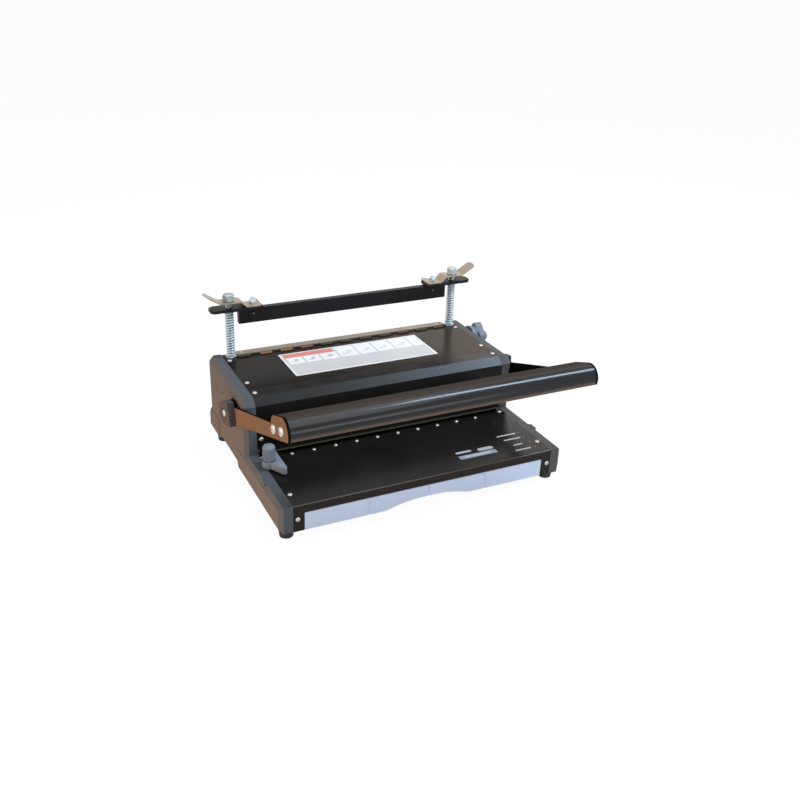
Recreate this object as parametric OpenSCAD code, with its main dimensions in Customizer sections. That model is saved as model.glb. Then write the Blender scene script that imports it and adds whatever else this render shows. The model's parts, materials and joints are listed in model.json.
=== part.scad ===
// Strip binding machine: a hole punch with a big handle and a sprung press bar on top.
// Millimetres. X runs across, Y runs to the back, Z runs up from the table.

/* [Body] */
// Clear width of the deck between the side cheeks
deck_w = 340; // [330:1:352]
// Depth of the open deck, from the front face to the upper housing
deck_d = 126; // [122:1:130]
// Height of the deck over the table
deck_h = 44.8; // [43:0.2:47]
// Depth of the body, from the front face to the back of the housing
body_d = 280; // [276:1:290]
// Height of the housing's top over the table
top_h = 118; // [114:0.5:124]
// Height of the underside over the table
belly_h = 10.9; // [9:0.1:12]
// Thickness of the painted sheet metal
sheet_t = 1.5; // [1.2:0.1:1.8]
// How far the bent nose of the housing comes down from the top
nose_drop = 9; // [7:0.5:11]
// How far the bent nose runs back from the front
nose_run = 10; // [8:0.5:12]
// Place of the seam between the front cover and the top cover, from the nose
seam_back = 21; // [19:0.5:24]
// Gap between neighbouring sheets
seam_gap = 0.4; // [0.2:0.1:0.8]
// How far the rear panel sits in from the back of the cheeks
rear_inset = 9; // [7:0.5:10]

/* [Cheeks] */
// Thickness of each moulded cheek
cheek_t = 16.3; // [15:0.1:18]
// How far the low strip and the heel stand proud of a cheek's upper part
strip_proud = 1.2; // [0.6:0.2:1.6]
// Chamfer round the outer rim of a cheek
cheek_chamfer = 5; // [4:0.5:6]
// Depth of the hollow in the inner side of a cheek
cheek_hollow = 8; // [6:0.5:9]
// Wall round that hollow
cheek_wall = 3.2; // [2.6:0.2:4]
// Slope at the top rear corner, along the depth
rear_run = 6; // [4:0.5:8]
// Slope at the top rear corner, along the height
rear_drop = 6; // [4:0.5:8]
// How far the heel kicks out at the back
heel_out = 8; // [6:0.5:10]
// Height where the heel starts
heel_h = 46; // [42:1:50]
// Length of the heel along the depth
heel_d = 44; // [40:1:48]
// Length of the arch under a cheek
arch_l = 74; // [68:1:78]
// Start of the arch, from the front
arch_y = 161; // [159:1:164]
// Height of the arch above the underside
arch_h = 10; // [8:0.5:12]
// Corner radius of the arch
arch_r = 5; // [4:0.5:6]
// Depth of the swing recess beside the arm
recess_t = 5; // [3:0.5:5.5]
// Radius of the recess's corner
recess_r = 8; // [6:0.5:10]
// Reach of the recess ahead of the handle's axis
recess_front = 24; // [21:0.5:26]
// Height of the recess above the handle's axis
recess_up = 14.2; // [13:0.2:16]
// Length of the small nib on the low rim
nib_l = 12; // [10:1:14]
// Place of the nib, from the front
nib_y = 57; // [52:1:62]

/* [Frames] */
// Thickness of the steel side frames
frame_t = 3; // [2.5:0.5:4]
// Reach of a bent screw lug from its frame
lug_l = 9; // [8.5:0.5:10]
// Depth of a bent screw lug
lug_w = 7; // [6.5:0.5:7.5]
// Thickness of a bent screw lug
lug_t = 2; // [1.6:0.2:2.4]

/* [Screws] */
// Shank diameter of the cover screws
screw_d = 3; // [2.6:0.1:3.4]
// Head diameter of the cover screws
screw_head_d = 5.6; // [5:0.2:6]
// Head height of the cover screws
screw_head_h = 1.9; // [1.5:0.1:2.2]
// Length of the cover screws below the head
screw_l = 4.6; // [4.2:0.1:5.4]
// Clearance round a screw shank
screw_gap = 0.1; // [0.08:0.02:0.2]
// Distance of the screws from the edge of the deck
screw_in = 5.2; // [4.6:0.2:6]
// Place of the front deck screws, from the front
deck_screw_a = 24.3; // [20:0.5:30]
// Place of the rear deck screws, ahead of the housing
deck_screw_b = 9.6; // [9.4:0.1:10.4]
// Height of the front face screws over the underside
front_screw_z = 16.3; // [14:0.5:18]
// Height of the screws low on the upper front face, over the deck
upper_screw_z = 20.5; // [18:0.5:26]
// Place of the nose screws, behind the front of the housing
top_screw_a = 18.9; // [18:0.5:20]
// Place of the middle top screws, behind the front of the housing
top_screw_b = 49.2; // [44:0.5:54]
// Place of the rear top screws, ahead of the posts
top_screw_c = 10.8; // [10.6:0.2:11.6]

/* [Punch] */
// Distance between neighbouring punch holes
hole_pitch = 28.5; // [27.5:0.1:29.5]
// Sideways set of the row of deck screws
row_shift = -2.5; // [-3:0.5:0]
// Diameter of the punch pins
pin_d = 4; // [3.2:0.1:5]
// Running clearance round a pin, on the radius
pin_gap = 0.05; // [0.03:0.01:0.08]
// Height of the paper throat over the deck
throat_h = 5.2; // [4.8:0.1:6]
// Thickness of the throat lip
lip_t = 1.8; // [1.5:0.1:2.4]
// How far the lip stands out in front of the housing
lip_out = 9; // [7:0.5:9]
// Thickness of the die plate
die_t = 8.3; // [7:0.1:9]
// Overhang of the die plate under the deck
die_lap = 17; // [16:0.5:19]
// Width of the lip's end legs
leg_w = 5; // [4:0.5:6]
// Depth of the row of small deck screws, ahead of the deck's rear edge
row_in = 9; // [8:0.5:11]
// Shank diameter of the row screws
row_d = 2.5; // [2:0.1:3]
// Head diameter of the row screws
row_head_d = 5; // [4.4:0.2:5.2]
// Depth of the punch carrier bar
carrier_d = 13; // [12:0.5:14]
// Height of the punch carrier bar
carrier_h = 14; // [12:0.5:15]
// Height of the carrier over the lip
carrier_z = 8.2; // [8:0.2:9]
// Sliding clearance of the carrier in its guides
guide_gap = 0.3; // [0.25:0.05:0.4]
// Wall of a guide before and behind the carrier
guide_wall = 5; // [4:0.5:5.5]
// Thickness of a yoke on the carrier
yoke_t = 4; // [3:0.5:5]
// Distance of the yokes in from the deck's edges
yoke_side = 54; // [50:1:60]

/* [Handle] */
// Swing of the handle from rest to the bottom, in degrees
handle_swing = 28; // [24:1:28]
// Slope of the arms at rest, in degrees
arm_angle = 20.3; // [18:0.1:22]
// Distance of the shaft behind the front of the housing
pivot_back = 34; // [33:0.5:35]
// Height of the shaft below the top
pivot_drop = 27; // [26:0.5:28]
// Diameter of the drive shaft
shaft_d = 12; // [10:0.5:12]
// Running clearance round the shaft, on the radius
shaft_gap = 0.05; // [0.03:0.01:0.08]
// Wall of the shaft bushes
bush_wall = 3; // [2:0.5:4]
// Length of a bush inside its frame
bush_l = 9; // [6:0.5:12]
// Gap between an arm and its cheek
arm_gap = 0.5; // [0.4:0.1:0.8]
// Thickness of an arm
arm_t = 3; // [2.5:0.5:4]
// Height of an arm at the shaft
arm_h = 21.6; // [20:0.2:23]
// Height of an arm at the handle
arm_tip_h = 15.6; // [14:0.2:17]
// Distance of an arm's straight lower edge below the shaft
arm_low = 15.3; // [14.5:0.1:16]
// Distance from the shaft to the middle of the handle
arm_l = 189.4; // [186:0.2:194]
// Width of the handle's oval form
handle_w = 56.4; // [50:0.2:58]
// Full height of the handle's oval form
handle_h = 30.4; // [28:0.2:31]
// Height of the oval's middle over the handle's flat underside
handle_flat = 10.5; // [9.5:0.1:11.5]
// Wall of the handle tube
handle_wall = 3; // [2:0.5:4]
// Distance between the two screws at each end of the handle
handle_pitch = 26.6; // [24:0.2:28]
// How far the handle's screws sit behind its middle
handle_shift = 4.2; // [3:0.2:5]
// Diameter of the handle screws
handle_screw_d = 5; // [4:0.5:5]
// Head diameter of the handle screws
handle_head_d = 10.5; // [9:0.5:12]
// Head height of the handle screws
handle_head_h = 3.2; // [2.5:0.1:4]
// Radius of the round back of the hub caps
hub_r = 15; // [14:0.5:16]
// Distance of a hub cap's flat front ahead of the shaft
hub_front = 14; // [12:0.5:16]
// Upward lean of the hub's front
hub_tilt = 12; // [6:1:16]
// Fall of the hub's outer face to its front
hub_fall = 3.5; // [2:0.5:4]
// Length of the hub caps
hub_l = 11.5; // [10:0.5:13]
// Shank diameter of the hub screws
hub_screw_d = 5; // [4:0.5:5]
// Head diameter of the hub screws
hub_head_d = 9; // [8:0.5:10]
// Crank radius
crank_e = 16; // [15:0.5:16.5]
// Diameter of the crank pins
crank_pin_d = 6; // [5:0.5:6]
// Thickness of the cranks
crank_t = 6; // [5:0.5:8]
// Clearance of a crank pin in its yoke
crank_gap = 0.35; // [0.3:0.05:0.5]

/* [Press bar] */
// Distance of each post in from the deck's edge
post_side = 10; // [9.5:0.5:13]
// Distance of the posts ahead of the back of the housing
post_in = 20.7; // [19.5:0.1:21.5]
// Diameter of the posts
post_d = 8; // [7:0.5:8]
// Height of the post heads over the housing
post_rise = 84.5; // [80:0.5:92]
// Width of the hexagon heads and nuts
hex_af = 13; // [12:0.5:13]
// Height of the hexagon heads
head_h = 5.3; // [4.5:0.1:6]
// Height of the beam under the posts
beam_h = 6; // [5:0.5:8]
// Depth of the beam under the posts
beam_d = 16; // [15:0.5:16]
// Thickness of the washer under a head
washer_t = 1.2; // [1:0.1:1.6]
// Height of the nuts
nut_h = 3; // [2.5:0.5:6]
// Distance of the press blade's ends in from the deck's edges
blade_side = 21.5; // [20.5:0.5:26]
// Thickness of the press blade
blade_t = 8; // [6:0.5:8]
// Height of the press blade
blade_h = 19; // [16:0.5:22]
// Gap between the post heads and the end plates
bar_drop = 9; // [8:0.1:11]
// Thickness of the end plates
plate_t = 4; // [3:0.5:5]
// Width of the end plates
plate_w = 20; // [18:0.5:22]
// How far an end plate reaches out past its post
plate_out = 25; // [22:0.5:28]
// How far an end plate reaches in from its post
plate_in = 42.5; // [40:0.5:45]
// Clearance of a post in its plate
post_gap = 0.5; // [0.4:0.05:0.7]
// Travel of the press bar
press_travel = 24; // [18:1:26]

/* [Springs] */
// Wire diameter of the springs
wire_d = 1.5; // [1.2:0.1:1.6]
// Gap between a spring's inside and its post
coil_gap = 0.3; // [0.3:0.05:0.5]
// Number of turns in a spring
coil_turns = 18; // [14:1:20]
// Gap between a spring's ends and their seats
coil_seat = 0.1; // [0.05:0.05:0.3]

/* [Latches] */
// Distance from a latch's stud to its post
stud_in = 31; // [30:0.5:32]
// Diameter of the latch studs
stud_d = 5; // [4:0.5:5]
// Depth of a stud in the press blade
stud_deep = 4; // [3:0.5:4.5]
// Height of a stud over its end plate
stud_rise = 9.5; // [8:0.5:11]
// Width of the nuts on the studs
stud_af = 8; // [7:0.5:9]
// Thickness of the latch sheet
latch_t = 1.6; // [1.2:0.1:1.8]
// Width of a latch
latch_w = 14.5; // [13:0.5:16]
// Part of that width ahead of the stud
latch_front = 6; // [5:0.5:7]
// Length of a latch's base on each side of its stud
latch_base = 10; // [9:0.5:11]
// Reach of the small ear at the back of the base
ear_l = 7; // [5:0.5:8]
// Width of that ear
ear_w = 9; // [8:0.5:10]
// Gap between a latch and what it slides on or under
latch_gap = 0.3; // [0.2:0.05:0.4]
// Reach of the shelf past the post
shelf_out = 12; // [11:0.5:13]
// Length of the finger tab
tab_l = 22.5; // [18:0.5:24]
// Radius of the finger tab's corners
tab_r = 5.5; // [4:0.5:6]
// Rise of the finger tab, in degrees
tab_angle = 32; // [25:1:40]

/* [Comb] */
// Distance of the toothed comb bar's ends in from the deck's edges
comb_side = 18; // [18:0.5:22]
// Depth of the comb bar
comb_d = 17; // [16:0.5:19]
// Distance of the comb's teeth ahead of the posts
comb_front = 9.3; // [8.5:0.1:9.5]
// Height of the comb bar
comb_h = 2.2; // [2:0.1:3]
// Depth of the teeth
tooth_d = 8; // [6:0.5:10]
// Height of the teeth
tooth_h = 1.6; // [1.2:0.1:1.8]
// Width of the gaps between teeth
tooth_gap = 11.5; // [10:0.5:15]

/* [Waste tray] */
// Distance of the tray front's ends in from the deck's edges
tray_side = 13.5; // [13:0.5:20]
// Height of the tray's front
tray_h = 22.6; // [21:0.2:23]
// Gap round the tray's front
tray_gap = 0.6; // [0.4:0.1:1]
// Depth of the tray
tray_d = 168; // [160:1:180]
// Wall of the tray
tray_wall = 2; // [1.6:0.2:2.6]
// Thickness of the tray's front
tray_front_t = 3; // [2.4:0.2:3.6]
// Depth of the finger space behind the front
grip_d = 20; // [16:0.5:24]
// Width of the finger arch
grip_w = 124; // [100:1:130]
// Distance of the arch from the middle of the tray
grip_x = -1; // [-4:0.5:4]
// Height of the finger arch
grip_h = 7.5; // [6.5:0.5:10]
// Distance between the upright grooves in the tray's front
groove_pitch = 76.5; // [70:0.5:80]
// Width of these grooves
groove_w = 2.6; // [2:0.2:4]
// Depth of these grooves
groove_d = 1.9; // [1:0.1:2]
// Running gap under the tray
tray_run = 0.3; // [0.2:0.1:0.5]

/* [Side stop and knob] */
// Distance of the stop lever's stud in from the cheek
stop_in = 3.5; // [3:0.5:6]
// Distance of the stop lever ahead of the housing
stop_front = 34; // [33:0.5:38]
// Radius of the stop lever's grip
stop_r = 7.5; // [7:0.5:8]
// Height of the stop lever's grip
stop_h = 28.2; // [26:0.2:32]
// Height of the lever's wing
wing_h = 8.7; // [8:0.1:10]
// Distance of the wing's straight edge from the lever's axis
wing_l = 14.2; // [12:0.2:16]
// Length of the wing to the front
wing_front = 26; // [23:0.5:28]
// Length of the wing to the back
wing_back = 21.5; // [20:0.5:22]
// Radius of the wing's tips
wing_r = 3.5; // [3:0.5:4]
// Diameter of the lever's stud
stop_stud_d = 6; // [5:0.5:6]
// Distance of the star knob ahead of the back
knob_in = 37; // [35:0.5:45]
// Distance of the star knob below the top
knob_drop = 16; // [15:0.5:22]
// Outer radius of the star knob
knob_r = 19; // [17:0.5:20]
// Radius of a lobe
lobe_r = 6.5; // [5.5:0.25:7]
// Number of lobes on the star knob
lobes = 4; // [3:1:6]
// Length of the star knob
knob_l = 13; // [11:0.5:15]
// Length of the knob's collar
collar_l = 6; // [5:0.5:7]
// Radius of the knob's collar
collar_r = 13; // [12:0.5:14]
// Diameter of the knob's shaft
knob_shaft_d = 8; // [6:0.5:8]

/* [Feet and small pieces] */
// Radius of the feet
foot_r = 9; // [8:0.5:9.5]
// Distance of the feet out from the deck's edge
foot_out = 3.9; // [3:0.1:5]
// Distance of the front feet from the front
foot_y = 13.7; // [11:0.1:16]
// Distance of the rear feet ahead of the back
foot_back = 18; // [16:0.5:24]
// Diameter of the indicator lamps
lamp_d = 3.2; // [2.8:0.1:4]
// Distance between the lamps
lamp_pitch = 13.3; // [12:0.1:13.5]
// Width of the instruction sticker
sticker_w = 199; // [180:1:210]
// Depth of the instruction sticker
sticker_d = 71; // [66:1:72]
// Thickness of stickers and plates
sticker_t = 0.3; // [0.2:0.1:0.4]
// Width of the blank name plate
badge_w = 52; // [46:1:58]
// Depth of the blank name plate
badge_d = 8; // [6:0.5:12]
// Distance of the power inlet in from the deck's edge
inlet_side = 55; // [45:1:60]
// Distance from the power inlet to the switch
switch_gap = 45; // [42:1:55]
// Depth of the power inlet's body
inlet_d = 22; // [20:0.5:26]
// Width of the power inlet's body
inlet_w = 30; // [28:0.5:31]
// Height of the power inlet's body
inlet_h = 22; // [20:0.5:24]
// Width of the switch opening
rocker_w = 19; // [17:0.5:21]
// Height of the switch opening
rocker_h = 13; // [12:0.5:14]
// Tilt of the switch at rest, in degrees
rocker_tilt = 7; // [5:1:8]

/* [Hidden] */
$fn = 48;
hw = deck_w/2;
xo = hw + cheek_t;
xb = xo - strip_proud;
frame_in = hw - frame_t;
skin_x = hw - 0.2;
arm_in = xo + arm_gap;
arm_out = arm_in + arm_t;
hub_out = arm_out + hub_l;
knob_out = xo + collar_l + guide_gap + knob_l;
nose_z = top_h - nose_drop;
nose_y = deck_d + nose_run;
nose_a = atan2(nose_drop, nose_run);
seam_y = nose_y + seam_back;
rear_y = body_d - rear_inset;
rear_in = rear_y - sheet_t;
deck_low = deck_h - sheet_t;
top_low = top_h - sheet_t;
pan_top = belly_h + sheet_t;
screw_x = hw - screw_in;
pivot_y = deck_d + pivot_back;
pivot_z = top_h - pivot_drop;
post_x = hw - post_side;
blade_l = deck_w - 2*blade_side;
comb_l = deck_w - 2*comb_side;
tray_w = deck_w - 2*tray_side;
yoke_x = hw - yoke_side;
handle_rise = handle_flat - arm_low;
handle_holes = [for (s = [-1, 1]) handle_shift + s*handle_pitch/2];
post_y = body_d - post_in;
post_top = top_h + post_rise;
head_low = post_top - head_h - washer_t;
plate_top = head_low - bar_drop;
plate_low = plate_top - plate_t;
lip_low = deck_h + throat_h;
lip_top = lip_low + lip_t;
lip_y = deck_d - lip_out;
deck_end = deck_d - 4;
row_y = deck_end - row_in;
crank_a = handle_swing/2;
punch_y = pivot_y - crank_e*(1 + cos(crank_a))/2;
crank_y = crank_e*cos(crank_a);
crank_z = crank_e*sin(crank_a);
carrier_low = lip_top + carrier_z;
carrier_top = carrier_low + carrier_h;
die_y = deck_end - die_lap;
die_end = punch_y + 15;
die_x = frame_in - lug_l - 2;
guide_x = die_x - leg_w;
bush_r = shaft_d/2 + bush_wall;
y_front = pivot_y - (arm_l + (handle_w - handle_h)/2)*cos(arm_angle)
          + handle_rise*sin(arm_angle) - handle_h/2;
y_back = body_d + heel_out;
x_mid = (knob_out - hub_out)/2;
hub_land = hub_r - 4;
hub_run = hub_land + hub_front;
hub_seat = hub_l - hub_fall*hub_land/hub_run - 1.5;
y_mid = (y_front + y_back)/2;
hole_xs = [for (i = [0:9]) (i - 4.5)*hole_pitch];
top_screws = [deck_d + top_screw_a, deck_d + top_screw_b, post_y - top_screw_c];
deck_screws = [deck_screw_a, deck_d - deck_screw_b];
front_z = belly_h + front_screw_z;
upper_z = deck_h + upper_screw_z;
knob_y = body_d - knob_in;
knob_z = top_h - knob_drop;
stop_x = -(hw - stop_in);
stop_y = deck_d - stop_front;
stop_z = deck_h + sheet_t;
lamp_x = screw_x - 9.3;
lamp_ys = [for (i = [0:3]) deck_screw_a - 9.8 + i*lamp_pitch];
foot_x = hw + foot_out;
foot_ys = [foot_y, body_d - foot_back];
stud_x = post_x - stud_in;
shelf_top = head_low - latch_gap;
latch_low = plate_top + latch_gap/2;
latch_step = shelf_top - latch_t - latch_low;
beam_low = top_low - beam_h;
coil_low = top_h + nut_h + coil_seat;
coil_len = plate_low - coil_seat - coil_low;
coil_r = post_d/2 + coil_gap + wire_d/2;
inlet_x = -hw + inlet_side;
switch_x = inlet_x + switch_gap;
rear_mid_z = belly_h + 32;
tray_low = pan_top + tray_run;
tray_box_w = tray_w - 8;
wing_hub = stop_r + 0.8;

// Side profile of the upper part of a cheek
cheek_upper = [[deck_d, belly_h], [deck_d, nose_z], [nose_y, top_h], [body_d - rear_run, top_h],
               [body_d, top_h - rear_drop], [body_d, belly_h]];
// Side profile of the low strip beside the deck
cheek_strip = [[0, belly_h], [0, deck_h], [arch_y, deck_h], [arch_y, belly_h]];
// Side profile of the heel
cheek_heel = [[body_d - heel_d, belly_h], [body_d - heel_d, heel_h], [body_d, heel_h],
              [y_back, heel_h - 1.6*heel_out], [y_back, belly_h]];
// Inner corners of the bent nose, one sheet below its outer corners
nose_in_a = [deck_d + sheet_t, nose_z - sheet_t*cos(nose_a)/(1 + sin(nose_a))];
nose_in_b = [nose_y + sheet_t*tan(nose_a/2), top_low];

// Centre line of a spring: a straight stub, the turns and another stub
coil_n = coil_turns*8;
function coil_at(k) = [coil_r*cos(45*k), coil_r*sin(45*k), wire_d + k/coil_n*(coil_len - 2*wire_d)];
coil_path = concat([[coil_r, 0, 0]], [for (k = [0:coil_n]) coil_at(k)],
                   [[coil_r*cos(45*coil_n), coil_r*sin(45*coil_n), coil_len]]);
coil_last = len(coil_path) - 1;
function unit(v) = v/norm(v);
function coil_dir(i) = i == 0 || i == coil_last ? [0, 0, 1] : unit(coil_path[i+1] - coil_path[i-1]);
function coil_out(i) = unit([coil_path[i][0], coil_path[i][1], 0]);
function coil_ring(i, j) = coil_path[i] + wire_d/2*(cos(60*j)*coil_out(i)
                           + sin(60*j)*cross(coil_dir(i), coil_out(i)));
coil_pts = [for (i = [0:coil_last]) for (j = [0:5]) coil_ring(i, j)];
coil_sides = [for (i = [0:coil_last-1]) for (j = [0:5]) for (h = [0, 1])
              h == 0 ? [i*6 + j, (i+1)*6 + j, (i+1)*6 + (j+1)%6]
                     : [i*6 + j, (i+1)*6 + (j+1)%6, i*6 + (j+1)%6]];
coil_caps = concat([for (j = [1:4]) [0, j, j+1]],
                   [for (j = [1:4]) [coil_last*6, coil_last*6 + j+1, coil_last*6 + j]]);
coil_self_gap = min([for (i = [0:coil_last]) for (j = [i+5:1:coil_last])
                     norm(coil_path[i] - coil_path[j])]) - wire_d;
echo(spring_self_gap = coil_self_gap);

// Extrudes a drawing of depth and height along the width
module side(t) {
  rotate([90, 0, 90])
    linear_extrude(t)
      children();
}

module both_sides() {
  children();
  mirror([1, 0, 0])
    children();
}

// Moves the whole machine so that its base is centred on the origin
module seat() {
  translate([-x_mid, -y_mid, 0])
    children();
}

// A slab with a chamfer round its outer face
module bevel_slab(pts, t) {
  hull() {
    side(t - cheek_chamfer)
      polygon(pts);
    side(t)
      offset(delta = -cheek_chamfer)
        polygon(pts);
  }
}

// Drawing of the arch under a cheek
module arch_form() {
  translate([arch_y, belly_h - 1])
    square([arch_l, 1 + arch_h - arch_r]);
  translate([arch_y + arch_r, belly_h - 1])
    square([arch_l - 2*arch_r, 1 + arch_h]);
  for (y = [arch_y + arch_r, arch_y + arch_l - arch_r])
    translate([y, belly_h + arch_h - arch_r])
      circle(arch_r);
}

// Drawing of the recess that the arm and its hub swing in
module recess_form() {
  translate([pivot_y - recess_front, pivot_z - 11]) {
    square([recess_front + 12, 11 + recess_up - recess_r]);
    translate([recess_r, 0])
      square([recess_front + 12 - recess_r, 11 + recess_up]);
    translate([recess_r, 11 + recess_up - recess_r])
      circle(recess_r);
  }
}

module cheek_body() {
  difference() {
    translate([hw, 0, 0]) {
      bevel_slab(cheek_upper, cheek_t - strip_proud);
      bevel_slab(cheek_strip, cheek_t);
      bevel_slab(cheek_heel, cheek_t);
      translate([cheek_t - cheek_chamfer - 1, nib_y, deck_h - 3])
        cube([cheek_chamfer - 0.8, nib_l, 3.6]);
    }
    translate([hw - 1, 0, 0])
      side(1 + cheek_hollow) {
        offset(delta = -cheek_wall)
          polygon(cheek_upper);
        offset(delta = -cheek_wall)
          polygon(cheek_strip);
      }
    translate([hw - 1, 0, 0])
      side(cheek_t + 2)
        arch_form();
    translate([xb - recess_t, 0, 0])
      side(recess_t + 2)
        recess_form();
    translate([hw - 1, pivot_y, pivot_z])
      rotate([0, 90, 0])
        cylinder(h = cheek_t + 2, r = bush_r + 1);
    for (y = foot_ys)
      translate([foot_x, y, belly_h - 1])
        cylinder(h = 1 + cheek_wall + 3, r = screw_d/2 + screw_gap);
  }
}

module left_cheek() {
  color([0.30, 0.29, 0.30])
    mirror([1, 0, 0])
      cheek_body();
}

module right_cheek() {
  color([0.30, 0.29, 0.30])
    difference() {
      cheek_body();
      translate([hw - 1, knob_y, knob_z])
        rotate([0, 90, 0])
          cylinder(h = cheek_t + 2, r = knob_shaft_d/2 + 0.4);
    }
}

// One bent lug with its screw hole, lying under a sheet
module lug() {
  translate([-lug_l, -lug_w/2, -lug_t])
    cube([lug_l, lug_w, lug_t]);
}

module frame_body() {
  difference() {
    union() {
      translate([frame_in, 0, 0])
        side(frame_t)
          polygon([[sheet_t, belly_h], [sheet_t, deck_low], [nose_in_a[0], deck_low], nose_in_a,
                   nose_in_b, [rear_in, top_low], [rear_in, belly_h]]);
      for (y = top_screws)
        translate([frame_in, y, top_low])
          lug();
      for (y = deck_screws)
        translate([frame_in, y, deck_low])
          lug();
      translate([frame_in, sheet_t, front_z])
        rotate([90, 0, 0])
          lug();
      translate([frame_in, deck_d + sheet_t, upper_z])
        rotate([90, 0, 0])
          lug();
    }
    for (y = top_screws)
      translate([screw_x, y, top_low - lug_t - 1])
        cylinder(h = lug_t + 2, r = screw_d/2 + screw_gap);
    for (y = deck_screws)
      translate([screw_x, y, deck_low - lug_t - 1])
        cylinder(h = lug_t + 2, r = screw_d/2 + screw_gap);
    for (p = [[sheet_t, front_z], [deck_d + sheet_t, upper_z]])
      translate([screw_x, p[0] + lug_t + 1, p[1]])
        rotate([90, 0, 0])
          cylinder(h = lug_t + 2, r = screw_d/2 + screw_gap);
    translate([frame_in - 1, pivot_y, pivot_z])
      rotate([0, 90, 0])
        cylinder(h = frame_t + 2, r = bush_r + 0.05);
  }
}

module left_frame() {
  color([0.55, 0.56, 0.58])
    mirror([1, 0, 0])
      frame_body();
}

module right_frame() {
  color([0.55, 0.56, 0.58])
    difference() {
      frame_body();
      translate([frame_in - 1, knob_y, knob_z])
        rotate([0, 90, 0])
          cylinder(h = frame_t + 2, r = knob_shaft_d/2 + shaft_gap);
    }
}

module base_pan() {
  color([0.08, 0.08, 0.09])
    difference() {
      translate([-frame_in, tray_front_t + 1, belly_h])
        cube([2*frame_in, rear_in - tray_front_t - 1, sheet_t]);
      translate([grip_x - grip_w/2 - 3, 0, belly_h - 1])
        cube([grip_w + 6, tray_front_t + grip_d, sheet_t + 2]);
    }
}

module deck_plate() {
  color([0.05, 0.05, 0.055])
    difference() {
      translate([-skin_x, 0, 0])
        side(2*skin_x) {
          translate([sheet_t, deck_low])
            square([deck_end - sheet_t, sheet_t]);
          translate([0, belly_h])
            square([sheet_t, deck_low - belly_h]);
          translate([sheet_t, deck_low])
            intersection() {
              circle(sheet_t);
              translate([-sheet_t, 0])
                square(sheet_t);
            }
        }
      translate([-tray_w/2 - tray_gap, -1, belly_h - 1])
        cube([tray_w + 2*tray_gap, sheet_t + 2, 1 + tray_h + tray_gap]);
      both_sides() {
        for (y = deck_screws)
          translate([screw_x, y, deck_low - 1])
            cylinder(h = sheet_t + 2, r = screw_d/2 + screw_gap);
        translate([screw_x, sheet_t + 1, front_z])
          rotate([90, 0, 0])
            cylinder(h = sheet_t + 2, r = screw_d/2 + screw_gap);
      }
      for (x = hole_xs)
        translate([x + row_shift, row_y, deck_low - 1])
          cylinder(h = sheet_t + 2, r = row_d/2 + screw_gap);
      for (y = lamp_ys)
        translate([lamp_x, y, deck_low - 1])
          cylinder(h = sheet_t + 2, r = lamp_d/2 + screw_gap);
      translate([stop_x, stop_y, deck_low - 1])
        cylinder(h = sheet_t + 2, r = stop_stud_d/2 - 1 + screw_gap);
    }
}

module front_cover() {
  color([0.05, 0.05, 0.055])
    difference() {
      translate([-skin_x, 0, 0])
        side(2*skin_x)
          polygon([[deck_d, lip_top], [deck_d, nose_z], [nose_y, top_h], [seam_y, top_h],
                   [seam_y, top_low], nose_in_b, nose_in_a, [deck_d + sheet_t, lip_top]]);
      both_sides() {
        translate([screw_x, top_screws[0], top_low - 1])
          cylinder(h = sheet_t + 2, r = screw_d/2 + screw_gap);
        translate([screw_x, deck_d + sheet_t + 1, upper_z])
          rotate([90, 0, 0])
            cylinder(h = sheet_t + 2, r = screw_d/2 + screw_gap);
      }
    }
}

module top_cover() {
  color([0.05, 0.05, 0.055])
    difference() {
      translate([-skin_x, seam_y + seam_gap, top_low])
        cube([2*skin_x, rear_y - seam_y - seam_gap, sheet_t]);
      both_sides() {
        for (y = [top_screws[1], top_screws[2]])
          translate([screw_x, y, top_low - 1])
            cylinder(h = sheet_t + 2, r = screw_d/2 + screw_gap);
        translate([post_x, post_y, top_low - 1])
          cylinder(h = sheet_t + 2, r = post_d/2 + 0.2);
      }
    }
}

module rear_panel() {
  color([0.06, 0.06, 0.065])
    difference() {
      translate([-skin_x, rear_in, belly_h])
        cube([2*skin_x, sheet_t, top_low - belly_h]);
      translate([inlet_x, rear_in - 1, rear_mid_z])
        translate([-inlet_w/2 - 0.2, 0, -inlet_h/2 - 0.2])
          cube([inlet_w + 0.4, sheet_t + 2, inlet_h + 0.4]);
      translate([switch_x, rear_in - 1, rear_mid_z])
        translate([-rocker_w/2 - 0.2, 0, -rocker_h/2 - 0.2])
          cube([rocker_w + 0.4, sheet_t + 2, rocker_h + 0.4]);
      for (s = [-1, 1])
        translate([inlet_x + s*(inlet_w/2 + 5), rear_y + 1, rear_mid_z])
          rotate([90, 0, 0])
            cylinder(h = sheet_t + 2, r = screw_d/2 + screw_gap);
      for (i = [0:9])
        translate([hw - 60 - 9*i, rear_in - 1, top_low - 50])
          cube([3.5, sheet_t + 2, 26]);
    }
}

module die_plate() {
  color([0.5, 0.51, 0.53])
    difference() {
      translate([-die_x, die_y, deck_low - die_t])
        cube([2*die_x, die_end - die_y, die_t]);
      for (x = hole_xs) {
        translate([x, punch_y, deck_low - die_t - 1])
          cylinder(h = die_t + 2, r = pin_d/2 + pin_gap);
        translate([x + row_shift, row_y, deck_low - die_t - 1])
          cylinder(h = die_t + 2, r = row_d/2 + screw_gap);
      }
    }
}

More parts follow.
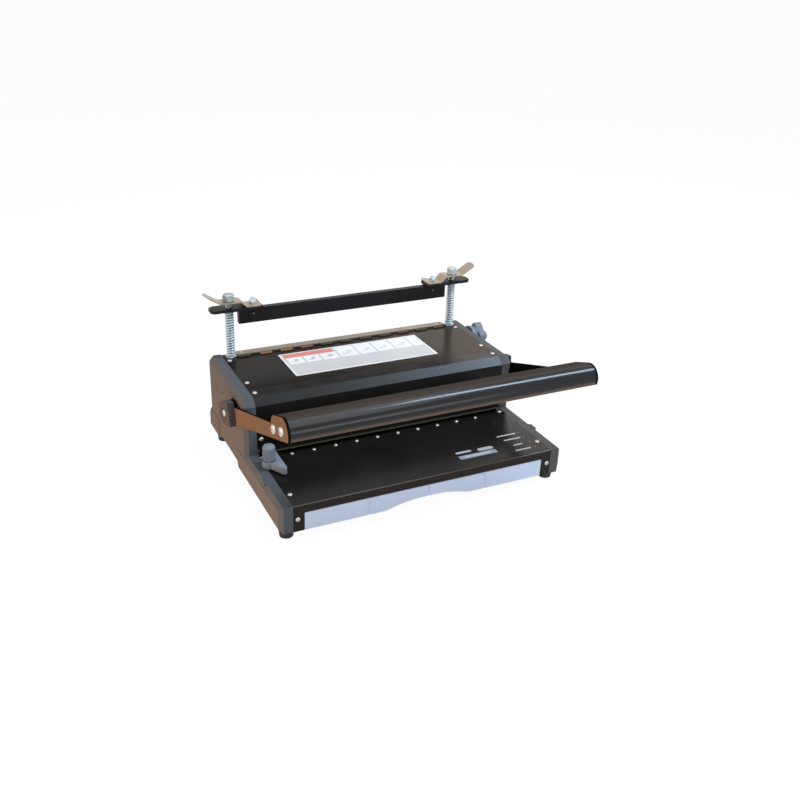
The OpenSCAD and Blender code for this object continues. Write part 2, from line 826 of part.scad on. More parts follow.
// The lip is the punch's stripper plate, on two legs beside the paper
module throat_lip() {
  color([0.62, 0.62, 0.60])
    difference() {
      union() {
        translate([-frame_in + 0.3, lip_y, lip_low])
          cube([2*(frame_in - 0.3), die_end - lip_y, lip_t]);
        both_sides()
          translate([guide_x, deck_end + 1, deck_low])
            cube([leg_w, die_end - deck_end - 1, lip_low - deck_low]);
        translate([-guide_x, die_end - 3, deck_low])
          cube([2*guide_x, 3, lip_low - deck_low]);
      }
      for (x = hole_xs)
        translate([x, punch_y, lip_low - 1])
          cylinder(h = lip_t + 2, r = pin_d/2 + pin_gap);
    }
}

// A guide block with an upright channel for the end of the carrier
module guide_block() {
  difference() {
    translate([guide_x, punch_y - carrier_d/2 - guide_gap - guide_wall, lip_top])
      cube([frame_in - guide_x, carrier_d + 2*guide_gap + 2*guide_wall, carrier_z + carrier_h + 2]);
    translate([guide_x - 1, punch_y - carrier_d/2 - guide_gap, lip_top - 1])
      cube([leg_w + 3.5, carrier_d + 2*guide_gap, carrier_z + carrier_h + 4]);
  }
}

module punch_guides() {
  color([0.45, 0.46, 0.48])
    both_sides()
      guide_block();
}

module shaft_bushes() {
  color([0.70, 0.55, 0.28])
    both_sides()
      translate([hw - bush_l, pivot_y, pivot_z])
        rotate([0, 90, 0])
          difference() {
            union() {
              cylinder(h = bush_l, r = bush_r);
              cylinder(h = bush_l - frame_t, r = bush_r + 1.5);
            }
            translate([0, 0, -1])
              cylinder(h = bush_l + 2, r = shaft_d/2 + shaft_gap);
          }
}

module post_beam() {
  color([0.50, 0.51, 0.53])
    difference() {
      translate([-frame_in, post_y - beam_d/2 + 1.2, beam_low])
        cube([2*frame_in, beam_d, beam_h]);
      both_sides()
        translate([post_x, post_y, beam_low - 1])
          cylinder(h = beam_h + 2, r = post_d/2 + 0.2);
    }
}

module comb_bar() {
  color([0.66, 0.64, 0.60])
    translate([-comb_l/2, post_y - comb_front, top_h])
      difference() {
        union() {
          translate([0, tooth_d, 0])
            cube([comb_l, comb_d - tooth_d, comb_h]);
          cube([comb_l, tooth_d + 1, tooth_h]);
        }
        for (x = hole_xs)
          translate([comb_l/2 + x - tooth_gap/2, -1, -1])
            cube([tooth_gap, tooth_d + 0.5, comb_h + 2]);
      }
}

// A hexagon with two flats facing along the width
module hex(h) {
  rotate([0, 0, 30])
    cylinder(h = h, r = hex_af/2/cos(30), $fn = 6);
}

module post_bolts() {
  color([0.80, 0.82, 0.85])
    both_sides()
      translate([post_x, post_y, 0]) {
        translate([0, 0, beam_low - nut_h - 2])
          cylinder(h = head_low - beam_low + nut_h + 2, r = post_d/2);
        translate([0, 0, head_low])
          cylinder(h = washer_t, r = hex_af/2 + 0.3);
        translate([0, 0, head_low + washer_t])
          rotate([0, 0, 30])
            hex(head_h);
      }
}

module post_nuts() {
  color([0.80, 0.82, 0.85])
    both_sides()
      translate([post_x, post_y, 0])
        for (z = [top_h, beam_low - nut_h])
          translate([0, 0, z])
            difference() {
              hex(nut_h);
              translate([0, 0, -1])
                cylinder(h = nut_h + 2, r = post_d/2 + 0.1);
            }
}

module spring() {
  polyhedron(points = coil_pts, faces = concat(coil_sides, coil_caps));
}

module spring_left() {
  color([0.82, 0.84, 0.87])
    translate([-post_x, post_y, coil_low])
      spring();
}

module spring_right() {
  color([0.82, 0.84, 0.87])
    translate([post_x, post_y, coil_low])
      spring();
}

module feet() {
  color([0.04, 0.04, 0.04])
    both_sides()
      for (y = foot_ys)
        translate([foot_x, y, 0])
          difference() {
            cylinder(h = belly_h, r1 = foot_r - 1, r2 = foot_r);
            translate([0, 0, -1])
              cylinder(h = 6, r = 4);
            translate([0, 0, 4])
              cylinder(h = belly_h, r = screw_d/2 + screw_gap);
          }
}

// A round-headed screw along Z with its head's seat at zero
module screw(d, head_d, head, len) {
  translate([0, 0, -len])
    cylinder(h = len, r = d/2);
  cylinder(h = head*0.55, r = head_d/2);
  translate([0, 0, head*0.55])
    cylinder(h = head*0.45, r1 = head_d/2, r2 = head_d*0.34);
}

module foot_screws() {
  color([0.7, 0.71, 0.73])
    both_sides()
      for (y = foot_ys)
        translate([foot_x, y, 5])
          mirror([0, 0, 1])
            screw(screw_d, 6, 2.4, belly_h - 5 + cheek_wall + 2);
}

module cover_screws() {
  color([0.80, 0.81, 0.82])
    both_sides() {
      for (y = top_screws)
        translate([screw_x, y, top_h])
          screw(screw_d, screw_head_d, screw_head_h, screw_l);
      for (y = deck_screws)
        translate([screw_x, y, deck_h])
          screw(screw_d, screw_head_d, screw_head_h, screw_l);
      for (p = [[0, front_z], [deck_d, upper_z]])
        translate([screw_x, p[0], p[1]])
          rotate([90, 0, 0])
            screw(screw_d, screw_head_d, screw_head_h, screw_l);
    }
}

module row_screws() {
  color([0.80, 0.81, 0.82])
    for (x = hole_xs)
      translate([x + row_shift, row_y, deck_h])
        screw(row_d, row_head_d, 1.6, sheet_t + die_t - 2);
}

module lamps() {
  color([0.55, 0.12, 0.08])
    for (y = lamp_ys)
      translate([lamp_x, y, deck_low - 3]) {
        cylinder(h = 3 + sheet_t, r = lamp_d/2);
        cylinder(h = 3, r = lamp_d/2 + 0.6);
        translate([0, 0, 3 + sheet_t])
          cylinder(h = 0.6, r1 = lamp_d/2, r2 = lamp_d/3);
      }
}

module sticker() {
  color([0.93, 0.93, 0.95])
    translate([-sticker_w/2 - 2.5, (seam_y + post_y)/2 - sticker_d/2, top_h])
      cube([sticker_w, sticker_d, sticker_t]);
}

module badge() {
  color([0.55, 0.63, 0.75])
    translate([hw/2 - 6 - badge_w/2, deck_screw_a - badge_d/2, deck_h])
      cube([badge_w, badge_d, sticker_t]);
}

module power_inlet() {
  color([0.05, 0.05, 0.05])
    translate([inlet_x, rear_y, rear_mid_z]) {
      difference() {
        union() {
          translate([-inlet_w/2, -inlet_d, -inlet_h/2])
            cube([inlet_w, inlet_d, inlet_h]);
          translate([-inlet_w/2 - 10, 0, -inlet_h/2 - 1])
            cube([inlet_w + 20, 2.5, inlet_h + 2]);
        }
        translate([-inlet_w/2 + 2.5, -inlet_d + 7, -inlet_h/2 + 2.5])
          cube([inlet_w - 5, inlet_d, inlet_h - 5]);
        for (s = [-1, 1])
          translate([s*(inlet_w/2 + 5), 3, 0])
            rotate([90, 0, 0])
              cylinder(h = 4, r = screw_d/2 + screw_gap);
      }
      for (p = [[-7, -1], [7, -1], [0, 3.5]])
        translate([p[0] - 1, -inlet_d + 6.5, p[1] - 2])
          cube([2, inlet_d - 8, 4]);
    }
}

module inlet_screws() {
  color([0.7, 0.71, 0.73])
    for (s = [-1, 1])
      translate([inlet_x + s*(inlet_w/2 + 5), rear_y + 2.5, rear_mid_z])
        rotate([-90, 0, 0])
          screw(screw_d, screw_head_d, screw_head_h, 6);
}

module switch_frame() {
  color([0.06, 0.06, 0.06])
    translate([switch_x, rear_y, rear_mid_z])
      difference() {
        union() {
          translate([-rocker_w/2, -14, -rocker_h/2])
            cube([rocker_w, 14, rocker_h]);
          translate([-rocker_w/2 - 1.5, 0, -rocker_h/2 - 1.5])
            cube([rocker_w + 3, 1.6, rocker_h + 3]);
        }
        translate([-rocker_w/2 + 1.5, -11, -rocker_h/2 + 1.5])
          cube([rocker_w - 3, 20, rocker_h - 3]);
        translate([0, -5, -rocker_h/2 - 1])
          cylinder(h = rocker_h + 2, r = 1.05);
      }
}

module rocker() {
  color([0.12, 0.12, 0.12])
    translate([switch_x, rear_y - 5, rear_mid_z])
      rotate([0, 0, -rocker_tilt]) {
        translate([0, 0, -rocker_h/2 + 2])
          linear_extrude(rocker_h - 4)
            polygon([[-rocker_w/2 + 3, 3], [-rocker_w/2 + 3, 7.6], [0, 6.2],
                     [rocker_w/2 - 3, 7.6], [rocker_w/2 - 3, 3], [2.5, -2.5], [-2.5, -2.5]]);
        translate([0, 0, -rocker_h/2 + 0.2])
          cylinder(h = rocker_h - 0.4, r = 1);
      }
}

// A collar that lies on the deck and carries the lever's round stud
module stop_stud() {
  color([0.65, 0.66, 0.68])
    translate([stop_x, stop_y, 0]) {
      translate([0, 0, deck_h])
        cylinder(h = sheet_t - 0.2, r = stop_r - 1.5);
      translate([0, 0, deck_h])
        cylinder(h = sheet_t + stop_h - 5, r = stop_stud_d/2);
      translate([0, 0, deck_low])
        cylinder(h = sheet_t + 0.5, r = stop_stud_d/2 - 1);
    }
}

module stop_lever() {
  color([0.42, 0.44, 0.48])
    translate([stop_x, stop_y, stop_z])
      difference() {
        union() {
          linear_extrude(wing_h)
            hull() {
              circle(stop_stud_d/2 + 1.2, $fn = 32);
              translate([wing_l - wing_r, -wing_front + wing_r])
                circle(wing_r, $fn = 24);
              translate([wing_l - wing_r, wing_back - wing_r])
                circle(wing_r, $fn = 24);
            }
          cylinder(h = wing_h, r = wing_hub);
          cylinder(h = stop_h - 3, r = stop_r);
          translate([0, 0, stop_h - 3])
            cylinder(h = 3, r1 = stop_r, r2 = stop_r - 2);
          translate([wing_l - wing_r, wing_back - 9, wing_h - 3])
            rotate([0, -90, 0])
              cylinder(h = wing_l + 4, r = 1.6);
        }
        translate([0, 0, -1])
          cylinder(h = 1 + stop_h - 4, r = stop_stud_d/2 + shaft_gap);
      }
}

module knob_collar() {
  color([0.16, 0.16, 0.17])
    translate([xb, knob_y, knob_z])
      rotate([0, 90, 0])
        difference() {
          cylinder(h = collar_l + strip_proud, r = collar_r);
          translate([0, 0, -1])
            cylinder(h = collar_l + strip_proud + 2, r = knob_shaft_d/2 + shaft_gap);
        }
}

module star_knob() {
  color([0.45, 0.47, 0.52])
    translate([xo + collar_l + guide_gap, knob_y, knob_z])
      rotate([0, 90, 0])
        difference() {
          union() {
            linear_extrude(knob_l - 1.5) {
              circle(knob_r - lobe_r + 1);
              for (i = [0:lobes - 1])
                rotate(i*360/lobes + 62)
                  translate([knob_r - lobe_r, 0])
                    circle(lobe_r);
            }
            translate([0, 0, knob_l - 1.5])
              cylinder(h = 1.5, r1 = knob_r - lobe_r + 1, r2 = knob_r - lobe_r - 0.5);
          }
          translate([0, 0, -1])
            cylinder(h = knob_l - 2, r = knob_shaft_d/2 + shaft_gap);
        }
}

module knob_shaft() {
  color([0.6, 0.61, 0.63])
    translate([frame_in - 6, knob_y, knob_z])
      rotate([0, 90, 0])
        cylinder(h = knob_out - 3.2 - frame_in + 6, r = knob_shaft_d/2);
}

// Places a drawing made along the arm, with the shaft at its origin
module on_arm() {
  translate([0, pivot_y, pivot_z])
    rotate([-arm_angle, 0, 0])
      children();
}

// Drawing of the handle: an oval with its underside cut flat, thinner by t all round
module oval(t) {
  intersection() {
    union() {
      square([handle_w - handle_h, handle_h - 2*t], center = true);
      for (s = [-1, 1])
        translate([s*(handle_w - handle_h)/2, 0])
          circle(handle_h/2 - t);
    }
    translate([-handle_w, t - handle_flat])
      square([2*handle_w, handle_h]);
  }
}

module handle_tube() {
  color([0.04, 0.04, 0.045])
    on_arm()
      translate([-arm_in, -arm_l, handle_rise])
        side(2*arm_in)
          difference() {
            oval(0);
            difference() {
              oval(handle_wall);
              for (y = handle_holes)
                translate([y, 0]) {
                  circle(handle_screw_d/2 + 2.5);
                  square([handle_wall, handle_h], center = true);
                }
            }
            for (y = handle_holes)
              translate([y, 0])
                circle(handle_screw_d/2 + screw_gap);
          }
}

module arm_plate() {
  on_arm()
    translate([arm_in, 0, 0])
      side(arm_t)
        difference() {
          union() {
            polygon([[0, -arm_low], [0, arm_h - arm_low], [-arm_l, arm_tip_h - arm_low],
                     [-arm_l, -arm_low]]);
            circle(arm_low);
            translate([-arm_l, handle_rise])
              oval(0);
          }
          circle(shaft_d/2 + shaft_gap);
          for (y = handle_holes)
            translate([y - arm_l, handle_rise])
              circle(handle_screw_d/2 + screw_gap);
        }
}

module left_arm() {
  color([0.10, 0.09, 0.09])
    mirror([1, 0, 0])
      arm_plate();
}

module right_arm() {
  color([0.10, 0.09, 0.09])
    arm_plate();
}

module handle_screws() {
  color([0.82, 0.83, 0.85])
    both_sides()
      on_arm()
        for (y = handle_holes)
          translate([arm_out, y - arm_l, handle_rise])
            rotate([0, 90, 0])
              screw(handle_screw_d, handle_head_d, handle_head_h, 18);
}

// A hub cap has a round back and a flat front
module hub_caps() {
  color([0.28, 0.27, 0.28])
    both_sides()
      translate([arm_out, pivot_y, pivot_z])
        difference() {
          side(hub_l) {
            circle(hub_r);
            rotate(-hub_tilt)
              translate([-hub_front, -hub_r])
                square([hub_front, 2*hub_r]);
          }
          translate([0, 0, -2*hub_r])
            linear_extrude(4*hub_r)
              polygon([[hub_l, hub_land], [hub_l - 2*hub_fall, hub_land - 2*hub_run],
                       [hub_l + 2, hub_land - 2*hub_run], [hub_l + 2, hub_land]]);
          translate([hub_seat, 0, 0])
            rotate([0, 90, 0])
              cylinder(h = hub_l, r = hub_head_d/2 + 1);
          translate([-1, 0, 0])
            rotate([0, 90, 0])
              cylinder(h = hub_l + 1, r = hub_screw_d/2 + screw_gap);
        }
}

module hub_screws() {
  color([0.82, 0.83, 0.85])
    both_sides()
      translate([arm_out + hub_seat, pivot_y, pivot_z])
        rotate([0, 90, 0])
          screw(hub_screw_d, hub_head_d, 2.6, hub_seat + arm_t + 4);
}

module drive_shaft() {
  color([0.6, 0.61, 0.63])
    translate([-arm_out, pivot_y, pivot_z])
      rotate([0, 90, 0])
        difference() {
          cylinder(h = 2*arm_out, r = shaft_d/2);
          for (z = [-1, 2*arm_out - 12])
            translate([0, 0, z])
              cylinder(h = 13, r = hub_screw_d/2 + screw_gap);
        }
}

// One crank: a hub on the shaft, a cheek and a pin in the yoke
module crank() {
  translate([yoke_x + yoke_t + 1, pivot_y, pivot_z])
    rotate([-crank_a, 0, 0]) {
      side(crank_t)
        difference() {
          union() {
            circle(shaft_d/2 + 4);
            translate([-crank_e, 0])
              circle(crank_pin_d/2 + 2.5);
            translate([-crank_e, -crank_pin_d/2 - 1.5])
              square([crank_e, crank_pin_d + 3]);
          }
          circle(shaft_d/2 + shaft_gap);
        }
      translate([-yoke_t - 2, -crank_e, 0])
        rotate([0, 90, 0])
          cylinder(h = yoke_t + 3, r = crank_pin_d/2);
    }
}

module drive_cranks() {
  color([0.5, 0.5, 0.52])
    both_sides()
      crank();
}

module punch_carrier() {
  color([0.45, 0.46, 0.48])
    difference() {
      union() {
        translate([-guide_x - leg_w, punch_y - carrier_d/2, carrier_low])
          cube([2*(guide_x + leg_w), carrier_d, carrier_h]);
        both_sides()
          translate([yoke_x, punch_y - carrier_d/2, carrier_top - 1])
            cube([yoke_t, carrier_d, pivot_z + crank_z + crank_pin_d/2 + 6 - carrier_top]);
      }
      both_sides()
        translate([yoke_x - 1, 0, pivot_z + crank_z - crank_pin_d/2 - crank_gap])
          translate([0, pivot_y - crank_e - crank_pin_d/2 - crank_gap, 0])
            cube([yoke_t + 2, crank_e - crank_y + crank_pin_d + 2*crank_gap,
                  crank_pin_d + 2*crank_gap]);
      for (x = hole_xs)
        translate([x, punch_y, carrier_low - 1])
          cylinder(h = 5, r = pin_d/2 + pin_gap);
    }
}

module punch_pins() {
  color([0.7, 0.71, 0.73])
    for (x = hole_xs)
      translate([x, punch_y, lip_low + 0.6])
        cylinder(h = carrier_low + 4 - lip_low - 0.6, r = pin_d/2);
}

module press_blade() {
  color([0.045, 0.045, 0.05])
    difference() {
      translate([-blade_l/2, post_y - blade_t/2 - 0.3, plate_low - blade_h])
        cube([blade_l, blade_t, blade_h]);
      both_sides()
        translate([stud_x, post_y - blade_t/2 + 3, plate_low - 7])
          rotate([90, 0, 0])
            cylinder(h = 8, r = screw_d/2 + screw_gap);
      both_sides()
        translate([stud_x, post_y - 0.3, plate_low - stud_deep - 0.5])
          cylinder(h = stud_deep + 1.5, r = stud_d/2 + screw_gap);
    }
}

module end_plate() {
  translate([post_x - plate_in, post_y - plate_w/2, plate_low])
    difference() {
      linear_extrude(plate_t)
        polygon([[0, 0], [plate_in + plate_out - 4, 0], [plate_in + plate_out, 4],
                 [plate_in + plate_out, plate_w - 5], [plate_in + plate_out - 5, plate_w],
                 [0, plate_w]]);
      translate([plate_in, plate_w/2, -1])
        cylinder(h = plate_t + 2, r = post_d/2 + post_gap);
      translate([plate_in - stud_in, plate_w/2 - 0.3, -1])
        cylinder(h = plate_t + 2, r = stud_d/2 + screw_gap);
    }
}

module end_plates() {
  color([0.05, 0.05, 0.055])
    both_sides()
      end_plate();
}

module blade_screws() {
  color([0.3, 0.3, 0.31])
    both_sides()
      translate([stud_x, post_y - blade_t/2 - 0.3, plate_low - 7])
        rotate([90, 0, 0])
          screw(screw_d, screw_d + 0.8, 1, 2.6);
}

module latch_studs() {
  color([0.80, 0.82, 0.85])
    both_sides()
      translate([stud_x, post_y - 0.3, plate_low - stud_deep])
        cylinder(h = plate_t + stud_deep + stud_rise, r = stud_d/2);
}

module latch_nuts() {
  color([0.80, 0.82, 0.85])
    both_sides()
      translate([stud_x, post_y - 0.3, latch_low + latch_t + latch_gap])
        difference() {
          cylinder(h = 4.5, r = stud_af/2/cos(30), $fn = 6);
          translate([0, 0, -1])
            cylinder(h = 7, r = stud_d/2 + 0.05);
        }
}

// Side drawing of a latch: a base on its stud, a sloping step, a shelf under the post's head and a tab
module latch_form() {
  bend = latch_t*tan(22.5);
  far = stud_in + shelf_out;
  tip = [far + tab_l*cos(tab_angle), latch_step + latch_t + tab_l*sin(tab_angle)];
  polygon([[-latch_base, 0], [latch_base, 0], [latch_base + latch_step, latch_step],
           [far + latch_t*tan(tab_angle/2), latch_step],
           tip + latch_t*[sin(tab_angle), -cos(tab_angle)], tip, [far, latch_step + latch_t],
           [latch_base + latch_step - bend, latch_step + latch_t],
           [latch_base - bend, latch_t], [-latch_base, latch_t]]);
}

// Drawing of what is cut off a corner of the finger tab to round it
module tab_corner() {
  cut_r = tab_r + 0.15;
  polygon(concat([[tab_l - tab_r, -1], [tab_l + 1, -1], [tab_l + 1, tab_r]],
                 [for (a = [0:15:90]) [tab_l - tab_r + cut_r*cos(a), tab_r - cut_r*sin(a)]]));
}

// A bent sheet latch with a notched shelf, a finger tab and a small ear at the back
module latch_sheet() {
  back = latch_w - latch_front;
  translate([stud_x, post_y - 0.3, 0])
    difference() {
      translate([0, back + ear_l, latch_low])
        rotate([90, 0, 0])
          linear_extrude(latch_w + ear_l)
            latch_form();
      translate([ear_w - latch_base, back, latch_low - 1])
        cube([stud_in + shelf_out + tab_l, ear_l + 1, latch_step + tab_l]);
      translate([stud_in + shelf_out, 0, shelf_top])
        rotate([0, -tab_angle, 0])
          translate([0, 0, -latch_t - 1])
            linear_extrude(latch_t + 2) {
              translate([0, -latch_front])
                tab_corner();
              translate([0, back])
                mirror([0, 1])
                  tab_corner();
            }
      translate([0, 0, latch_low - 1])
        cylinder(h = latch_t + 2, r = stud_d/2 + shaft_gap);
      translate([stud_in - 0.1, 0.3, shelf_top - latch_t - 1])
        cylinder(h = latch_t + 2, r = post_d/2 + 1.2);
      translate([stud_in - post_d/2 - 2.2, 0.3, shelf_top - latch_t - 1])
        cube([post_d + 3.2, latch_w, latch_t + 2]);
    }
}

module latch_left() {
  color([0.72, 0.66, 0.57])
    mirror([1, 0, 0])
      latch_sheet();
}

module latch_right() {
  color([0.72, 0.66, 0.57])
    latch_sheet();
}

// Drawing of the finger arch's bell curve under the tray's front
module arch_curve() {
  polygon(concat([[grip_w/2, -1]], [[-grip_w/2, -1]],
                 [for (i = [-10:10])
                   [i/10*grip_w/2, (grip_h + 0.3)*(1 + cos(180*pow(abs(i/10), 1.7)))/2 - 0.3]]));
}

module tray_front() {
  color([0.62, 0.66, 0.74])
    difference() {
      translate([-tray_w/2, 0, belly_h])
        cube([tray_w, tray_front_t, tray_h]);
      translate([grip_x, tray_front_t + 1, belly_h])
        rotate([90, 0, 0])
          linear_extrude(tray_front_t + 2)
            arch_curve();
      for (i = [-1:1])
        translate([grip_x + i*groove_pitch, 0, belly_h - 1])
          linear_extrude(tray_h + 2)
            polygon([[-groove_w/2 - 0.3, -0.2], [0, groove_d], [groove_w/2 + 0.3, -0.2]]);
    }
}

module waste_tray() {
  color([0.62, 0.66, 0.74])
    difference() {
      translate([-tray_box_w/2, tray_front_t, tray_low])
        cube([tray_box_w, tray_d - tray_front_t, tray_h + belly_h - tray_low]);
      translate([-tray_box_w/2 + tray_wall, tray_front_t + grip_d + tray_wall, tray_low + tray_wall])
        cube([tray_box_w - 2*tray_wall, tray_d - tray_front_t - grip_d - 2*tray_wall, tray_h + 20]);
      translate([grip_x - grip_w/2, tray_front_t - 1, tray_low - 1])
        cube([grip_w, grip_d + 1, 1 + grip_h + 2.5]);
    }
}

seat() left_cheek();
seat() right_cheek();
seat() left_frame();
seat() right_frame();
seat() base_pan();
seat() deck_plate();
seat() front_cover();
seat() top_cover();
seat() rear_panel();
seat() die_plate();
seat() throat_lip();
seat() punch_guides();
seat() shaft_bushes();
seat() post_beam();
seat() comb_bar();
seat() post_bolts();
seat() post_nuts();
seat() spring_left();
seat() spring_right();
seat() feet();
seat() foot_screws();
seat() cover_screws();
seat() row_screws();
seat() lamps();
seat() sticker();
seat() badge();
seat() power_inlet();
seat() inlet_screws();
seat() switch_frame();
seat() stop_stud();
seat() knob_collar();
seat() handle_tube();
seat() left_arm();
seat() right_arm();
seat() handle_screws();
seat() hub_caps();
seat() hub_screws();
seat() drive_shaft();
seat() drive_cranks();
seat() punch_carrier();
seat() punch_pins();
seat() press_blade();
seat() end_plates();
seat() blade_screws();
seat() latch_studs();
seat() latch_nuts();
seat() latch_left();
seat() latch_right();
seat() waste_tray();
seat() tray_front();
seat() stop_lever();
seat() star_knob();
seat() knob_shaft();
seat() rocker();
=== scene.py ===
import json
import math

import bmesh
import bpy
from mathutils import Matrix, Vector


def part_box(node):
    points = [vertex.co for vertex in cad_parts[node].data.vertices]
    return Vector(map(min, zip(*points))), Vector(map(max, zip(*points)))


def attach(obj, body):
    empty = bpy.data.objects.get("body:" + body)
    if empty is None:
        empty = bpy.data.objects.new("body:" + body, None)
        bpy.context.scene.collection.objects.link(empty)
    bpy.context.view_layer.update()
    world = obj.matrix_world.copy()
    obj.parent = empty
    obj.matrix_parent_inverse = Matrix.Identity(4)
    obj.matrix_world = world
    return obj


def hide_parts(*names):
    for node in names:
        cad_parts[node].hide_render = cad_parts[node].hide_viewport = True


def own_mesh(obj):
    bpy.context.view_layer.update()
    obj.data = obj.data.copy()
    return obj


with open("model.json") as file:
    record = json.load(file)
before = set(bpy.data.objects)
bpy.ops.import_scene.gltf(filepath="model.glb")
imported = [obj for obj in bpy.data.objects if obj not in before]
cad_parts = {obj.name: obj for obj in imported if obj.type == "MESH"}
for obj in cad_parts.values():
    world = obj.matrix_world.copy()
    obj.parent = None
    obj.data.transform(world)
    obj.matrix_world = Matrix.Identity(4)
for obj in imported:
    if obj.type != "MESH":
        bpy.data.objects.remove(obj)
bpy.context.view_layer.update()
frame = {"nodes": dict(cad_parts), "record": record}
NODES = frame["nodes"]
scene = bpy.context.scene
MM = 0.001

# The drawing's zero: middle of the deck, its front face, the table top. Lengths below are in mm from there.
_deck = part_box("deck_plate")
ZERO = Vector(((_deck[0].x + _deck[1].x) / 2, _deck[0].y, 0.0))


def at(x, y, z):
    """A point given in mm in the drawing, in the row frame in metres."""
    return ZERO + Vector((x, y, z)) * MM


# ---------------------------------------------------------------- camera

FRAME_PX = 800               # width of the photograph
FOCAL_PX = 923.64            # focal length in pixels of that frame
SENSOR_MM = 36.0
CAM_AZ, CAM_EL, CAM_ROLL = (math.radians(v) for v in (-26.616, 25.7855, 2.0819))
CAM_AT = (-454.637, -820.655, 595.723)


def make_camera():
    """The photograph's camera, worked out from its straight edges."""
    cam = bpy.data.objects.new("Camera", bpy.data.cameras.new("Camera"))
    scene.collection.objects.link(cam)
    level = math.cos(CAM_EL)
    back = Vector((math.sin(CAM_AZ) * level, -math.cos(CAM_AZ) * level, math.sin(CAM_EL)))
    right = (-back).cross(Vector((0, 0, 1))).normalized()
    up = right.cross(-back)
    rolled_right = math.cos(CAM_ROLL) * right + math.sin(CAM_ROLL) * up
    rolled_up = -math.sin(CAM_ROLL) * right + math.cos(CAM_ROLL) * up
    m = Matrix((rolled_right, rolled_up, back)).transposed().to_4x4()
    m.translation = at(*CAM_AT)
    cam.matrix_world = m
    cam.data.sensor_width = SENSOR_MM
    cam.data.lens = FOCAL_PX / FRAME_PX * SENSOR_MM
    scene.camera = cam


make_camera()

# ---------------------------------------------------------------- material helpers

HALVES_BLEND = 0.01          # m to each side of the middle over which left turns into right


